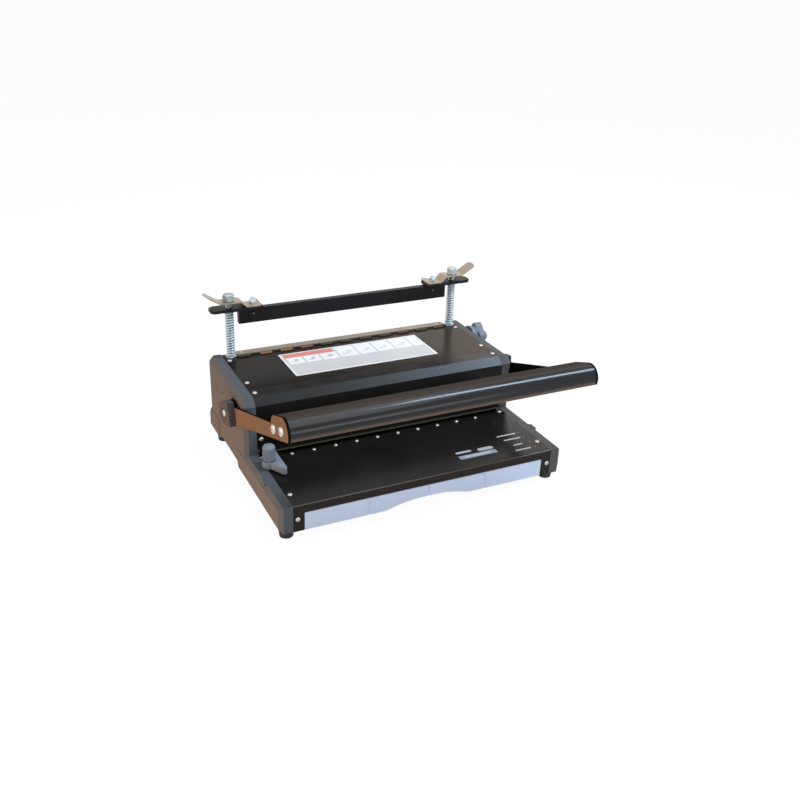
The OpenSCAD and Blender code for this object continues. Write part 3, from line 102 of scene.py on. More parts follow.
class Mat:
    """A Principled material that is built up from small procedural parts."""

    def __init__(self, name, rough=0.5, metal=0.0, **sockets):
        self.mat = bpy.data.materials.new(name)
        self.mat.use_nodes = True
        self.nt = self.mat.node_tree
        self.bsdf = self.nt.nodes["Principled BSDF"]
        self.bsdf.inputs["Roughness"].default_value = rough
        self.bsdf.inputs["Metallic"].default_value = metal
        for key, value in sockets.items():
            self.bsdf.inputs[key.replace("_", " ")].default_value = value
        self.coord = self.nt.nodes.new("ShaderNodeTexCoord").outputs["Object"]

    def add(self, kind, **values):
        node = self.nt.nodes.new(kind)
        for key, value in values.items():
            setattr(node, key, value)
        return node

    def link(self, a, b):
        self.nt.links.new(a, b)

    def stretched(self, scale):
        """Object coordinates scaled along each axis."""
        node = self.add("ShaderNodeMapping")
        node.inputs["Scale"].default_value = scale
        self.link(self.coord, node.inputs["Vector"])
        return node.outputs["Vector"]

    def noise(self, scale, detail=3.0, rough=0.55, vector=None):
        node = self.add("ShaderNodeTexNoise")
        node.inputs["Scale"].default_value = scale
        node.inputs["Detail"].default_value = detail
        node.inputs["Roughness"].default_value = rough
        self.link(vector or self.coord, node.inputs["Vector"])
        return node.outputs["Fac"]

    def ramp(self, fac, stops):
        node = self.add("ShaderNodeValToRGB")
        ramp = node.color_ramp
        while len(ramp.elements) < len(stops):
            ramp.elements.new(0.5)
        for element, (pos, col) in zip(ramp.elements, stops):
            element.position = pos
            element.color = (*col, 1.0) if len(col) == 3 else col
        self.link(fac, node.inputs["Fac"])
        return node.outputs["Color"]

    def span(self, fac, lo, hi, frm=(0.25, 0.75)):
        node = self.add("ShaderNodeMapRange")
        for key, value in zip(("From Min", "From Max", "To Min", "To Max"), (*frm, lo, hi)):
            node.inputs[key].default_value = value
        self.link(fac, node.inputs["Value"])
        return node.outputs["Result"]

    def mix(self, fac, a, b):
        node = self.add("ShaderNodeMix", data_type="RGBA")
        for socket, value in ((node.inputs[0], fac), (node.inputs[6], a), (node.inputs[7], b)):
            if hasattr(value, "is_linked"):
                self.link(value, socket)
            else:
                socket.default_value = value if not isinstance(value, tuple) else (*value, 1.0)
        return node.outputs[2]

    def math(self, op, a, b=0.0):
        node = self.add("ShaderNodeMath", operation=op)
        for socket, value in zip(node.inputs, (a, b)):
            if hasattr(value, "is_linked"):
                self.link(value, socket)
            else:
                socket.default_value = value
        return node.outputs[0]

    def axis(self, name):
        node = self.add("ShaderNodeSeparateXYZ")
        self.link(self.coord, node.inputs[0])
        return node.outputs[name]

    def place(self, name, lo, hi):
        """0 to 1 along an axis, between two places given in mm in the drawing."""
        zero = getattr(ZERO, name.lower())
        return self.span(self.axis(name), 0.0, 1.0, (zero + lo * MM, zero + hi * MM))

    def facing(self, name):
        """The surface's own direction along an axis of the piece."""
        node = self.add("ShaderNodeSeparateXYZ")
        self.link(self.nt.nodes["Texture Coordinate"].outputs["Normal"], node.inputs[0])
        return node.outputs[name]

    def left_face(self, slope):
        """1 where a surface on the machine's left half looks outwards, faded over a range of slopes."""
        half = self.span(self.axis("X"), -1.0, 0.0, (ZERO.x - HALVES_BLEND, ZERO.x + HALVES_BLEND))
        return self.span(self.math("MULTIPLY", self.facing("X"), half), 0.0, 1.0, slope)

    def bend(self, flat):
        """1 where a sheet turns from upright to flat, faded out over a range of slopes."""
        up = self.facing("Z")
        return self.math("MULTIPLY", self.span(up, 0.0, 1.0, (0.10, 0.30)), self.span(up, 1.0, 0.0, flat))

    def tint(self, fac, col):
        """Mixes another colour into what is there."""
        old = self.bsdf.inputs["Base Color"].links[0].from_socket
        return self.colour(self.mix(fac, old, col))

    def colour(self, out):
        self.link(out, self.bsdf.inputs["Base Color"])
        return self

    def roughness(self, out):
        self.link(out, self.bsdf.inputs["Roughness"])
        return self

    def gloss(self, out):
        self.link(out, self.bsdf.inputs["Specular IOR Level"])
        return self

    def bump(self, height, strength, distance):
        node = self.add("ShaderNodeBump")
        node.inputs["Strength"].default_value = strength
        node.inputs["Distance"].default_value = distance
        old = self.bsdf.inputs["Normal"]
        if old.is_linked:
            self.link(old.links[0].from_socket, node.inputs["Normal"])
        self.link(height, node.inputs["Height"])
        self.link(node.outputs["Normal"], old)
        return self


def shade(col, k):
    """A colour made darker or lighter."""
    return tuple(c * k for c in col)


def plastic(name, col, rough=0.42, vary=0.10, grain=1800, grain_deep=0.10, scuff=0.06, spec=0.35):
    """Moulded plastic: fine grain, cloudy tone and faint rub marks."""
    m = Mat(name, rough, Specular_IOR_Level=spec)
    cloud = m.noise(38, 4)
    tone = m.ramp(cloud, [(0.30, shade(col, 1 - vary)), (0.72, shade(col, 1 + vary))])
    rub = m.noise(1.0, 5, 0.7, m.stretched((70, 260, 90)))
    rub = m.ramp(rub, [(0.60, (0, 0, 0)), (0.80, (scuff,) * 3)])
    m.colour(m.mix(rub, tone, (0.62, 0.60, 0.58)))
    m.roughness(m.span(m.noise(120, 4), rough - 0.07, rough + 0.09))
    m.bump(m.noise(grain, 2), grain_deep, 0.0003)
    return m


def paint(name, col, rough=0.16, peel=0.03, dust=0.10, vary=0.25, spec=0.3):
    """Gloss paint on sheet metal: faint orange peel, uneven gloss and a few dust specks."""
    m = Mat(name, rough, Specular_IOR_Level=spec)
    tone = m.ramp(m.noise(14, 3), [(0.30, shade(col, 1 - vary)), (0.75, shade(col, 1 + vary))])
    speck = m.ramp(m.noise(900, 1, 0.5), [(0.735, (0, 0, 0)), (0.79, (dust,) * 3)])
    m.colour(m.mix(speck, tone, (0.35, 0.33, 0.30)))
    m.roughness(m.span(m.noise(22, 5, 0.65), rough * 0.75, rough * 1.45))
    m.bump(m.noise(420, 2), peel, 0.0004)
    return m


def metal(name, col, rough=0.28, along=(1, 1, 1), line=0.05, vary=0.10, tarnish=None):
    """Bare or plated metal with cloudy gloss and fine lines, drawn out along the axes whose scale is small."""
    m = Mat(name, rough, 1.0)
    tone = m.ramp(m.noise(60, 4), [(0.28, shade(col, 1 - vary)), (0.74, shade(col, 1 + vary))])
    if tarnish:
        spot = m.ramp(m.noise(170, 5, 0.7), [(0.54, (0, 0, 0)), (0.74, (0.7,) * 3)])
        tone = m.mix(spot, tone, tarnish)
    m.colour(tone)
    fine = m.noise(900, 3, 0.6, m.stretched(along))
    m.roughness(m.span(fine, rough * 0.75, rough * 1.35))
    m.bump(fine, line, 0.0002)
    return m


# ---------------------------------------------------------------- materials

M = {}
CHEEK = {"rough": 0.42, "vary": 0.06, "grain": 1500, "grain_deep": 0.10, "scuff": 0.015, "spec": 0.06}


def side_grey(name, col, warm, low, high):
    """Grey moulded plastic whose left outer face carries a painted warm reflection, in one share low down and one
    high up.
    """
    m = plastic(name, col, **CHEEK)
    outer = m.left_face((0.55, 0.9))
    m.gloss(m.span(outer, CHEEK["spec"], 0.0, (0.0, 1.0)))
    # painted reflection: the left outer face takes a warm tone, in a different share low down and high up
    share = m.span(m.axis("Z"), low, high, (0.02, 0.11))
    return m.tint(m.math("MULTIPLY", outer, share), warm)


# both carry the painted warm reflection on their left outer faces
M["cheek_grey"] = side_grey("cheek_grey", (0.105, 0.116, 0.132), (0.305, 0.238, 0.198), 1.0, 0.66)
M["hub_grey"] = side_grey("hub_grey", (0.066, 0.070, 0.077), (0.225, 0.150, 0.105), 0.85, 0.85)
M["grip_grey"] = plastic("grip_grey", (0.225, 0.265, 0.315), 0.40, 0.07, 1700, 0.10, 0.04, 0.25)
M["tray_blue"] = plastic("tray_blue", (0.680, 0.770, 0.960), 0.40, 0.03, 1700, 0.06, 0.02, 0.25)
M["black_plastic"] = plastic("black_plastic", (0.014, 0.014, 0.015), 0.45, 0.15, 1400, 0.12, 0.03, 0.2)
M["rubber"] = plastic("rubber", (0.070, 0.062, 0.058), 0.75, 0.15, 900, 0.25, 0.08, 0.15)
M["black_paint"] = paint("black_paint", (0.0085, 0.0075, 0.0068), 0.20, spec=0.15)
M["press_paint"] = paint("press_paint", (0.0125, 0.0115, 0.0130), 0.38, 0.06, spec=0.14)
M["black_screw"] = metal("black_screw", (0.10, 0.10, 0.10), 0.40)
M["frame_steel"] = metal("frame_steel", (0.40, 0.41, 0.43), 0.36, (1, 0.05, 1))
M["tool_steel"] = metal("tool_steel", (0.42, 0.43, 0.45), 0.30, (0.05, 1, 1))
M["bronze"] = metal("bronze", (0.62, 0.44, 0.20), 0.35)
M["zinc"] = metal("zinc", (0.62, 0.71, 0.75), 0.24, (1, 1, 0.2))
M["spring_steel"] = metal("spring_steel", (0.50, 0.59, 0.66), 0.36)
M["screw_steel"] = metal("screw_steel", (0.60, 0.575, 0.55), 0.28)
M["latch_steel"] = metal("latch_steel", (0.41, 0.340, 0.262), 0.40, (0.06, 1, 1), 0.06)


def cover_paint():
    """The top cover's black, lighter and browner to the right as a painted reflection, glossier round its bent edges.
    """
    m = paint("cover_paint", (0.0130, 0.0085, 0.0056), 0.20, spec=0.085)
    # painted reflection: a lighter, browner tone towards the right
    m.tint(m.math("MULTIPLY", m.place("X", -60, 175), 0.8), (0.062, 0.041, 0.028))
    m.gloss(m.span(m.facing("Z"), 0.50, 0.050, (0.90, 0.985)))
    return m


def deck_paint():
    """The deck's gloss black, with a painted brown reflection on its front faces, glossier round its bent edges."""
    m = paint("deck_paint", (0.0120, 0.0105, 0.0092), 0.20, spec=0.15)
    # painted reflection: faces looking to the front are tinted brown
    m.tint(m.span(m.facing("Y"), 1.0, 0.0, (-0.95, -0.70)), (0.0210, 0.0140, 0.0105))
    m.gloss(m.span(m.bend((0.85, 0.97)), 0.14, 0.80, (0.0, 1.0)))
    return m


def nose_paint():
    """Gloss black over the bend of the nose, with more shine to the right."""
    m = paint("nose_paint", (0.0085, 0.0075, 0.0068), 0.22, spec=0.15)
    shine = m.math("ADD", m.math("MULTIPLY", m.place("X", -100, 150), 0.13), 0.02)
    m.gloss(m.math("ADD", m.math("MULTIPLY", m.bend((0.90, 0.98)), shine), 0.12))
    return m


def handle_paint():
    """Gloss black on the tube: duller on top, with a painted brown reflection there and on the underside."""
    m = paint("handle_paint", (0.0055, 0.0057, 0.0070), 0.14, 0.012, 0.05, spec=0.30)
    up, back = m.facing("Z"), m.facing("Y")
    top_reflection = m.span(back, 0.0, 1.0, (-0.36, -0.06))
    # painted reflection: a brown tone on the top and back faces, where the gloss is also lowered
    m.tint(m.math("MULTIPLY", top_reflection, 0.9), (0.0800, 0.0610, 0.0500))
    # painted reflection: brown on the faces looking down
    m.tint(m.span(up, 1.0, 0.0, (-0.24, -0.02)), (0.105, 0.058, 0.033))
    m.gloss(m.span(top_reflection, 0.36, 0.0, (0.0, 1.0)))
    return m


def arm_paint():
    """Dull black on the arms; the left arm's outer face carries a painted brown reflection."""
    m = paint("arm_paint", (0.0090, 0.0080, 0.0075), 0.30, 0.03, 0.03, spec=0.0)
    tone = m.ramp(m.noise(26, 4, 0.6), [(0.30, (0.285, 0.158, 0.088)), (0.72, (0.350, 0.195, 0.108))])
    # painted reflection: brown on the left outer face
    return m.tint(m.left_face((0.6, 0.9)), tone)


def lip_paint():
    """Black paint with a lighter, brownish band along the front edge."""
    m = paint("lip_paint", (0.0070, 0.0066, 0.0060), 0.24, spec=0.18)
    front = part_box("throat_lip")[0].y
    m.tint(m.span(m.axis("Y"), 1.0, 0.0, (front + 0.3 * MM, front + 0.9 * MM)), (0.085, 0.074, 0.045))
    return m


COMB_FRONT, COMB_STEP = 3.6, 8.8    # mm from the CAD comb's front edge to the teeth's ends and to the bar


def comb_steel():
    """Satin steel bar; the low teeth in front carry painted shade, brown, and near black at the far left and to the
    right.
    """
    m = metal("comb_steel", (0.285, 0.245, 0.195), 0.42, (0.04, 1, 1), 0.06, 0.08, (0.17, 0.14, 0.11))
    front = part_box("comb_bar")[0].y
    # painted shade on the low teeth: brown, darker towards both ends
    teeth_shade = m.mix(m.place("X", -75, -35), (0.300, 0.165, 0.070), (0.045, 0.042, 0.030))
    teeth_shade = m.mix(m.place("X", -118, -134), teeth_shade, (0.035, 0.026, 0.018))
    m.tint(m.span(m.axis("Y"), 0.9, 0.0, (front + (COMB_STEP - 0.6) * MM, front + COMB_STEP * MM)), teeth_shade)
    return m


M["lip_steel"] = lip_paint()
M["arm_paint"] = arm_paint()
M["handle_paint"] = handle_paint()
M["comb_steel"] = comb_steel()
OWN = {  # nodes with a material of their own
    "top_cover": cover_paint(),
    "press_blade": M["press_paint"],
    "deck_plate": deck_paint(),
    "front_cover": nose_paint(),
    # painted light: the right cheek is the same plastic as the left, given its own warmer, less blue grey
    "right_cheek": plastic("cheek_grey_right", (0.112, 0.104, 0.098), **CHEEK),
}

CAD_HEAD = 6.5               # mm of head and washer on the CAD post bolts


def post_zinc():
    """Plated bolt: hexagon head bright with painted shade on its side facets, top and right side, the shank below it
    a little bluer.
    """
    m = metal("post_zinc", (0.53, 0.60, 0.62), 0.30, (1, 1, 0.2))
    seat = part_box("post_bolts")[1].z - CAD_HEAD * MM
    fade = (seat - 0.4 * MM, seat)
    m.tint(m.span(m.axis("Z"), 1.0, 0.0, fade), (0.520, 0.580, 0.620))
    head = m.span(m.axis("Z"), 0.0, 1.0, fade)
    # painted shade on the head's side facets
    m.tint(m.math("MULTIPLY", head, m.span(m.facing("Z"), 1.0, 0.0, (0.3, 0.6))), (0.420, 0.490, 0.530))
    # painted shade on faces looking up
    m.tint(m.span(m.facing("Z"), 0.0, 1.0, (0.80, 0.95)), (0.380, 0.435, 0.425))
    # painted shade on faces looking right
    right = m.span(m.facing("X"), 0.0, 0.75, (0.05, 0.55))
    m.tint(m.math("MULTIPLY", right, head), (0.300, 0.360, 0.390))
    return m


OWN["post_bolts"] = post_zinc()


def lamp_red():
    """Clear dark red plastic."""
    m = Mat("lamp_red", 0.18, 0.0, IOR=1.49, Coat_Weight=0.5)
    m.colour(m.ramp(m.noise(400, 3), [(0.3, (0.050, 0.012, 0.010)), (0.7, (0.110, 0.022, 0.016))]))
    m.bump(m.noise(900, 2), 0.05, 0.0002)
    return m


M["lamp_red"] = lamp_red()


def film(name, col, vary=0.012, rough=0.32):
    """Printed film: faint paper tone and a soft gloss."""
    m = Mat(name, rough)
    m.colour(m.ramp(m.noise(55, 4), [(0.3, shade(col, 1 - vary)), (0.7, shade(col, 1 + vary))]))
    m.roughness(m.span(m.noise(90, 4), rough - 0.06, rough + 0.08))
    m.bump(m.noise(700, 2), 0.01, 0.0001)
    return m


M["sticker"] = film("film_white", (0.99, 0.97, 0.955))
M["badge"] = film("film_blue", (0.42, 0.54, 0.74))
PRINT = {
    "white": M["sticker"],
    "blue": M["badge"],
    "red": film("print_red", (0.78, 0.205, 0.150), 0.06),
    "pale": film("print_pale", (0.68, 0.655, 0.635)),
    "grey": film("print_grey", (0.56, 0.55, 0.55), 0.06),
    "mark": film("print_mark", (0.60, 0.60, 0.60)),
}

SLOT_OF = {s["node"]: s["material_slot"] for s in frame["record"]["subparts"]}
for node_name, node_obj in NODES.items():
    node_obj.data.materials.clear()
    node_obj.data.materials.append(OWN.get(node_name, M[SLOT_OF[node_name]]).mat)

# ---------------------------------------------------------------- mesh helpers

SAME_PLACE = 1e-6            # m within which two points of a CAD mesh are one


def piece(name, bm, body, mats, replaces=(), smooth=None):
    """Makes an object of a bmesh, puts it on its body and hides the nodes that it stands for."""
    mesh = bpy.data.meshes.new(name)
    bm.to_mesh(mesh)
    bm.free()
    obj = bpy.data.objects.new(name, mesh)
    scene.collection.objects.link(obj)
    for m in mats:
        mesh.materials.append(m.mat)
    if smooth is not None:
        mesh.shade_smooth()
        mesh.set_sharp_from_angle(angle=math.radians(smooth))
    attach(obj, body)
    if replaces:
        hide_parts(*replaces)
    return obj


def islands(node):
    """Lowest and highest corner of each separate solid in a node."""
    bm = bmesh.new()
    bm.from_mesh(NODES[node].data)
    bmesh.ops.remove_doubles(bm, verts=bm.verts, dist=SAME_PLACE)
    left = set(bm.verts)
    boxes = []
    while left:
        todo = [left.pop()]
        seen = list(todo)
        while todo:
            for e in todo.pop().link_edges:
                for v in e.verts:
                    if v in left:
                        left.remove(v)
                        todo.append(v)
                        seen.append(v)
        lo = Vector(min(v.co[i] for v in seen) for i in range(3))
        hi = Vector(max(v.co[i] for v in seen) for i in range(3))
        boxes.append((lo, hi))
    bm.free()
    return sorted(boxes, key=lambda b: tuple(round(c, 4) for c in b[0]))


def circle(radius, sides):
    """Points (x, y) round a circle."""
    angles = [2 * math.pi * i / sides for i in range(sides)]
    return [(radius * math.cos(a), radius * math.sin(a)) for a in angles]


def tube(bm, rings):
    """Joins rings of equally many points, each to the next, and closes both ends."""
    for a, b in zip(rings, rings[1:]):
        for i in range(len(a)):
            j = (i + 1) % len(a)
            bm.faces.new((a[i], a[j], b[j], b[i]))
    bm.faces.new(rings[-1])
    bm.faces.new(rings[0][::-1])


def merge(bm, part):
    """Adds a second mesh to the first and frees it."""
    tmp = bpy.data.meshes.new("tmp")
    part.to_mesh(tmp)
    part.free()
    bm.from_mesh(tmp)
    bpy.data.meshes.remove(tmp)


def outward(bm):
    """Turns every face of closed solids outwards."""
    bmesh.ops.recalc_face_normals(bm, faces=bm.faces)


def lathe(bm, profile, segments, matrix, mat=0):
    """Turns a profile of (radius, height) points in mm, which starts and ends on the axis, about Z."""
    rings = []
    for r, h in profile:
        points = circle(r * MM, segments) if r else [(0, 0)]
        rings.append([bm.verts.new(matrix @ Vector((x, y, h * MM))) for x, y in points])
    for a, b in zip(rings, rings[1:]):
        for i in range(segments):
            j = (i + 1) % segments
            if len(a) == 1:
                f = bm.faces.new((a[0], b[j], b[i]))
            elif len(b) == 1:
                f = bm.faces.new((a[i], a[j], b[0]))
            else:
                f = bm.faces.new((a[i], a[j], b[j], b[i]))
            f.material_index = mat


# ---------------------------------------------------------------- softened edges on the CAD nodes

EDGE = {  # mm of rounding along the sharp edges
    "left_cheek": 0.7, "right_cheek": 0.7, "hub_caps": 0.5, "deck_plate": 0.8, "front_cover": 0.25,
    "top_cover": 0.25, "press_blade": 0.35, "end_plates": 0.4, "tray_front": 0.35,
    "post_nuts": 0.35, "latch_nuts": 0.25, "feet": 0.8,
    "power_inlet": 0.3, "switch_frame": 0.3, "rocker": 0.3, "throat_lip": 0.2, "rear_panel": 0.25,
}
FLAT_UNDER, SHARP_OVER = math.radians(0.5), math.radians(32)

for node_name, width in EDGE.items():
    obj = NODES[node_name]
    weld = obj.modifiers.new("weld", "WELD")
    weld.merge_threshold = SAME_PLACE
    plane = obj.modifiers.new("plane", "DECIMATE")
    plane.decimate_type = "DISSOLVE"
    plane.angle_limit = FLAT_UNDER
    bev = obj.modifiers.new("edge", "BEVEL")
    bev.width = width * MM
    bev.segments = 2
    bev.limit_method = "ANGLE"
    bev.angle_limit = SHARP_OVER
    bev.use_clamp_overlap = True
    bev.harden_normals = False
    flat = obj.modifiers.new("flat", "WEIGHTED_NORMAL")
    flat.weight = 50
    flat.keep_sharp = False

# ---------------------------------------------------------------- screws

HEAD_SIDES, HEAD_RINGS = 72, 18      # fineness of a screw head
HEAD_RIM = 0.42                      # share of its height that a head keeps at its rim
HEAD_SINK = 0.3                      # mm that a head reaches into its sheet
CROSS = {"arm": 0.56, "width": 0.24, "deep": 0.55,    # shares of the head's radius, radius and height
         "wall": 0.14, "end": 0.25,                   # slopes, as shares of the cross's width and arm
         "turn": 0.9}                                 # radians from each screw to the next


def cross_head(radius, height):
    """A domed screw head with a sunk cross, its seat at zero, as a mesh."""
    arm, width, deep = radius * CROSS["arm"], radius * CROSS["width"], height * CROSS["deep"]

    def dome(d):
        return height * (HEAD_RIM + (1 - HEAD_RIM) * math.sqrt(max(0.0, 1 - (d / radius) ** 2)))

    def sunk(x, y):
        best = 0.0
        for a, b in ((abs(x), abs(y)), (abs(y), abs(x))):
            side = min(max((width / 2 - b) / (CROSS["wall"] * width) + 0.5, 0.0), 1.0)
            end = min(max((arm - a) / (CROSS["end"] * arm), 0.0), 1.0)
            best = max(best, side * end)
        return best

    bm = bmesh.new()
    rings = [[bm.verts.new((0, 0, height - deep))]]
    for k in range(1, HEAD_RINGS + 1):
        d = radius * k / HEAD_RINGS
        rings.append([bm.verts.new((x, y, dome(d) - deep * sunk(x, y))) for x, y in circle(d, HEAD_SIDES)])
    rings.append([bm.verts.new((x, y, -HEAD_SINK * MM)) for x, y in circle(radius, HEAD_SIDES)])
    for a, b in zip(rings, rings[1:]):
        for i in range(HEAD_SIDES):
            j = (i + 1) % HEAD_SIDES
            bm.faces.new((a[0], b[i], b[j]) if len(a) == 1 else (a[i], b[i], b[j], a[j]))
    bm.faces.new(rings[-1][::-1])
    done = bpy.data.meshes.new("head")
    bm.to_mesh(done)
    bm.free()
    return done


def screw_set(name, node, body, head_h):
    """Replaces a node of round-headed screws by domed cross-head screws in the same places."""
    bm = bmesh.new()
    template = None
    for k, (lo, hi) in enumerate(islands(node)):
        size = hi - lo
        axis = max(range(3), key=lambda i: size[i])
        if template is None:
            template = cross_head(size[min(i for i in range(3) if i != axis)] / 2, head_h)
        mid = (lo + hi) / 2
        if axis == 2:
            spin, top = Matrix.Identity(4), Vector((mid.x, mid.y, hi.z))
        elif axis == 1:
            rear = node == "inlet_screws"
            spin = Matrix.Rotation(math.radians(-90 if rear else 90), 4, "X")
            top = Vector((mid.x, hi.y if rear else lo.y, mid.z))
        else:
            right = mid.x > ZERO.x
            spin = Matrix.Rotation(math.radians(90 if right else -90), 4, "Y")
            top = Vector((hi.x if right else lo.x, mid.y, mid.z))
        seat = top - spin @ Vector((0, 0, head_h))
        part = bmesh.new()
        part.from_mesh(template)
        part.transform(Matrix.Translation(seat) @ spin @ Matrix.Rotation(CROSS["turn"] * k, 4, "Z"))
        merge(bm, part)
    bpy.data.meshes.remove(template)
    return piece(name, bm, body, [M[SLOT_OF[node]]], (node,), 30)


screw_set("cover_screw_heads", "cover_screws", "chassis", 1.9 * MM)
screw_set("row_screw_heads", "row_screws", "chassis", 1.6 * MM)
screw_set("handle_screw_heads", "handle_screws", "handle", 3.2 * MM)
screw_set("hub_screw_heads", "hub_screws", "handle", 2.6 * MM)
screw_set("inlet_screw_heads", "inlet_screws", "chassis", 1.9 * MM)

# ---------------------------------------------------------------- springs

PRESS_TRAVEL = 24 * MM
SPRING_TURNS, SPRING_CLOSED = 18, 1.2    # all turns, and those at each end that lie close
SPRING_WIRE = 1.05 * MM                  # radius of the wire
SPRING_PITCH = 2.05 * SPRING_WIRE        # of the closed turns
SPRING_STEPS, SPRING_SIDES = 28, 10      # places along a turn and round the wire


def spring(name, node):
    """A coil of round wire with closed ends, in the place of the CAD coil."""
    lo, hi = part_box(node)
    mid = (lo + hi) / 2
    radius = (hi.x - lo.x) / 2 - SPRING_WIRE
    length = hi.z - lo.z - 2 * SPRING_WIRE
    ends = SPRING_CLOSED * SPRING_PITCH
    count = SPRING_TURNS * SPRING_STEPS
    path = []
    for i in range(count + 1):
        t = i / SPRING_STEPS
        if t < SPRING_CLOSED:
            z = t * SPRING_PITCH
        elif t > SPRING_TURNS - SPRING_CLOSED:
            z = length - (SPRING_TURNS - t) * SPRING_PITCH
        else:
            k = (t - SPRING_CLOSED) / (SPRING_TURNS - 2 * SPRING_CLOSED)
            z = ends + k * (length - 2 * ends)
        a = 2 * math.pi * t
        path.append(Vector((mid.x + radius * math.cos(a), mid.y + radius * math.sin(a), lo.z + SPRING_WIRE + z)))
    bm = bmesh.new()
    rings = []
    for i, p in enumerate(path):
        along = (path[min(i + 1, count)] - path[max(i - 1, 0)]).normalized()
        out = Vector((p.x - mid.x, p.y - mid.y, 0)).normalized()
        up = along.cross(out).normalized()
        rings.append([bm.verts.new(p + x * out + y * up) for x, y in circle(SPRING_WIRE, SPRING_SIDES)])
    tube(bm, rings)
    outward(bm)
    obj = piece(name, bm, "chassis", [M["spring_steel"]], (node,), 40)
    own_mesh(obj)
    return obj


spring("coil_left", "spring_left")
spring("coil_right", "spring_right")

# ---------------------------------------------------------------- post bolts

HEAD_AF, HEAD_H, WASHER_T = 13.0, 7.0, 1.2           # mm, hexagon across its flats
HEAD_FLAT, HEAD_CHAMFER = HEAD_AF * 0.455, 0.577     # radius of the turned top, and how steeply it falls off
SHANK_R, CORE_R = 4.0, 3.2                           # mm
THREAD, THREAD_DEEP = 1.25, 0.55                     # mm of pitch and depth
BOLT_SIDES, SHANK_SIDES, THREAD_STEPS = 96, 24, 6    # fineness


def hexagon(a):
    """Radius of the hexagon head in a direction."""
    return HEAD_AF / 2 / math.cos(a % (math.pi / 3) - math.pi / 6)


def thread(a, z):
    """Radius of the cut thread in a direction, at a height."""
    turn = (z / THREAD - a / (2 * math.pi)) % 1.0
    return SHANK_R - THREAD_DEEP * (1 - abs(2 * turn - 1))


def bolt_ring(bm, mid, sides, shape):
    """A ring round a bolt's axis; shape gives the radius and the height in mm for a direction."""
    ring = []
    for i in range(sides):
        a = 2 * math.pi * i / sides
        rad, z = shape(a)
        ring.append(bm.verts.new((mid.x + rad * math.cos(a) * MM, mid.y + rad * math.sin(a) * MM, z * MM)))
    return ring


def post_bolts():
    """Hexagon bolts with a turned top, a washer face and a cut thread, in the places of the CAD bolts."""
    bm = bmesh.new()
    half = HEAD_AF / 2
    for lo, hi in islands("post_bolts"):
        mid = (lo + hi) / 2
        start, seat = lo.z / MM, hi.z / MM - CAD_HEAD
        low = seat + WASHER_T
        top = low + HEAD_H
        washer = ((CORE_R, seat), (half + 0.15, seat), (half + 0.3, seat + 0.2), (half + 0.3, low - 0.15),
                  (half + 0.1, low))
        shapes = [lambda a, v=v: v for v in washer] + [
            lambda a: (hexagon(a) - 0.12, low),
            lambda a: (hexagon(a), low + 0.12),
            lambda a: (hexagon(a), top - HEAD_CHAMFER * (hexagon(a) - HEAD_FLAT)),
            lambda a: (HEAD_FLAT, top),
            lambda a: (HEAD_FLAT * 0.5, top),
        ]
        tube(bm, [bolt_ring(bm, mid, BOLT_SIDES, shape) for shape in shapes])
        count = int((seat - start) / THREAD * THREAD_STEPS)
        heights = [start + (seat + 0.3 - start) * k / count for k in range(count + 1)]
        tube(bm, [bolt_ring(bm, mid, SHANK_SIDES, lambda a, z=z: (thread(a, z), z)) for z in heights])
    outward(bm)
    return piece("post_bolt_set", bm, "chassis", [OWN["post_bolts"]], ("post_bolts",), 25)


post_bolts()

# ---------------------------------------------------------------- latches

LATCH = {  # mm from the stud, along the latch and across it
    "t": 1.6, "base": 10.0, "step": 6.95, "far": 43.0,          # sheet, half of the base, rise, end of the shelf
    "front": -10.0, "back": 8.8, "ear": 15.0, "ear_to": -1.5,   # edges, and the ear at the back of the base
    "notch": (24.8, 36.0), "post": (30.9, 0.3, 5.2),            # shelf's notch; the post's place, free radius
    "bend": 4.0, "tab_bend": 9.0, "corner": 3.0, "tip": 6.0,    # radii
    "hole": 2.7, "cad_front": 6.0, "short": 0.3,                # stud hole; to the solid's front; short of its end
}
BEND_STEPS = 8
NOTCH_STEP = 2.5             # mm of the back edge's jump that makes a square corner
LATCH_JOIN = 1e-7            # m within which two of the sheet's points are one


def bent_path(points, radii, step=0.5):
    """Points every half millimetre or so along a line of straights whose corners are rounded."""
    out = [Vector(points[0])]
    for a, b, c, radius in zip(points, points[1:], points[2:], radii):
        a, b, c = Vector(a), Vector(b), Vector(c)
        u, v = (a - b).normalized(), (c - b).normalized()
        half = math.acos(max(-1.0, min(1.0, u.dot(v)))) / 2
        cut = radius / math.tan(half)
        centre = b + (u + v).normalized() * (radius / math.sin(half))
        p0, p1 = b + u * cut - centre, b + v * cut - centre
        turn = math.atan2(p0.x * p1.y - p0.y * p1.x, p0.dot(p1))
        for i in range(BEND_STEPS + 1):
            cos, sin = math.cos(turn * i / BEND_STEPS), math.sin(turn * i / BEND_STEPS)
            out.append(centre + Vector((p0.x * cos - p0.y * sin, p0.x * sin + p0.y * cos)))
    out.append(Vector(points[-1]))
    fine = [out[0]]
    for a, b in zip(out, out[1:]):
        n = max(1, round((b - a).length / step))
        fine += [a.lerp(b, i / n) for i in range(1, n + 1)]
    return fine


def rounded(d, r):
    """How far an outline draws in at a distance from its end, for a corner of radius r."""
    return r - math.sqrt(max(0.0, r * r - (r - d) ** 2)) if d < r else 0.0


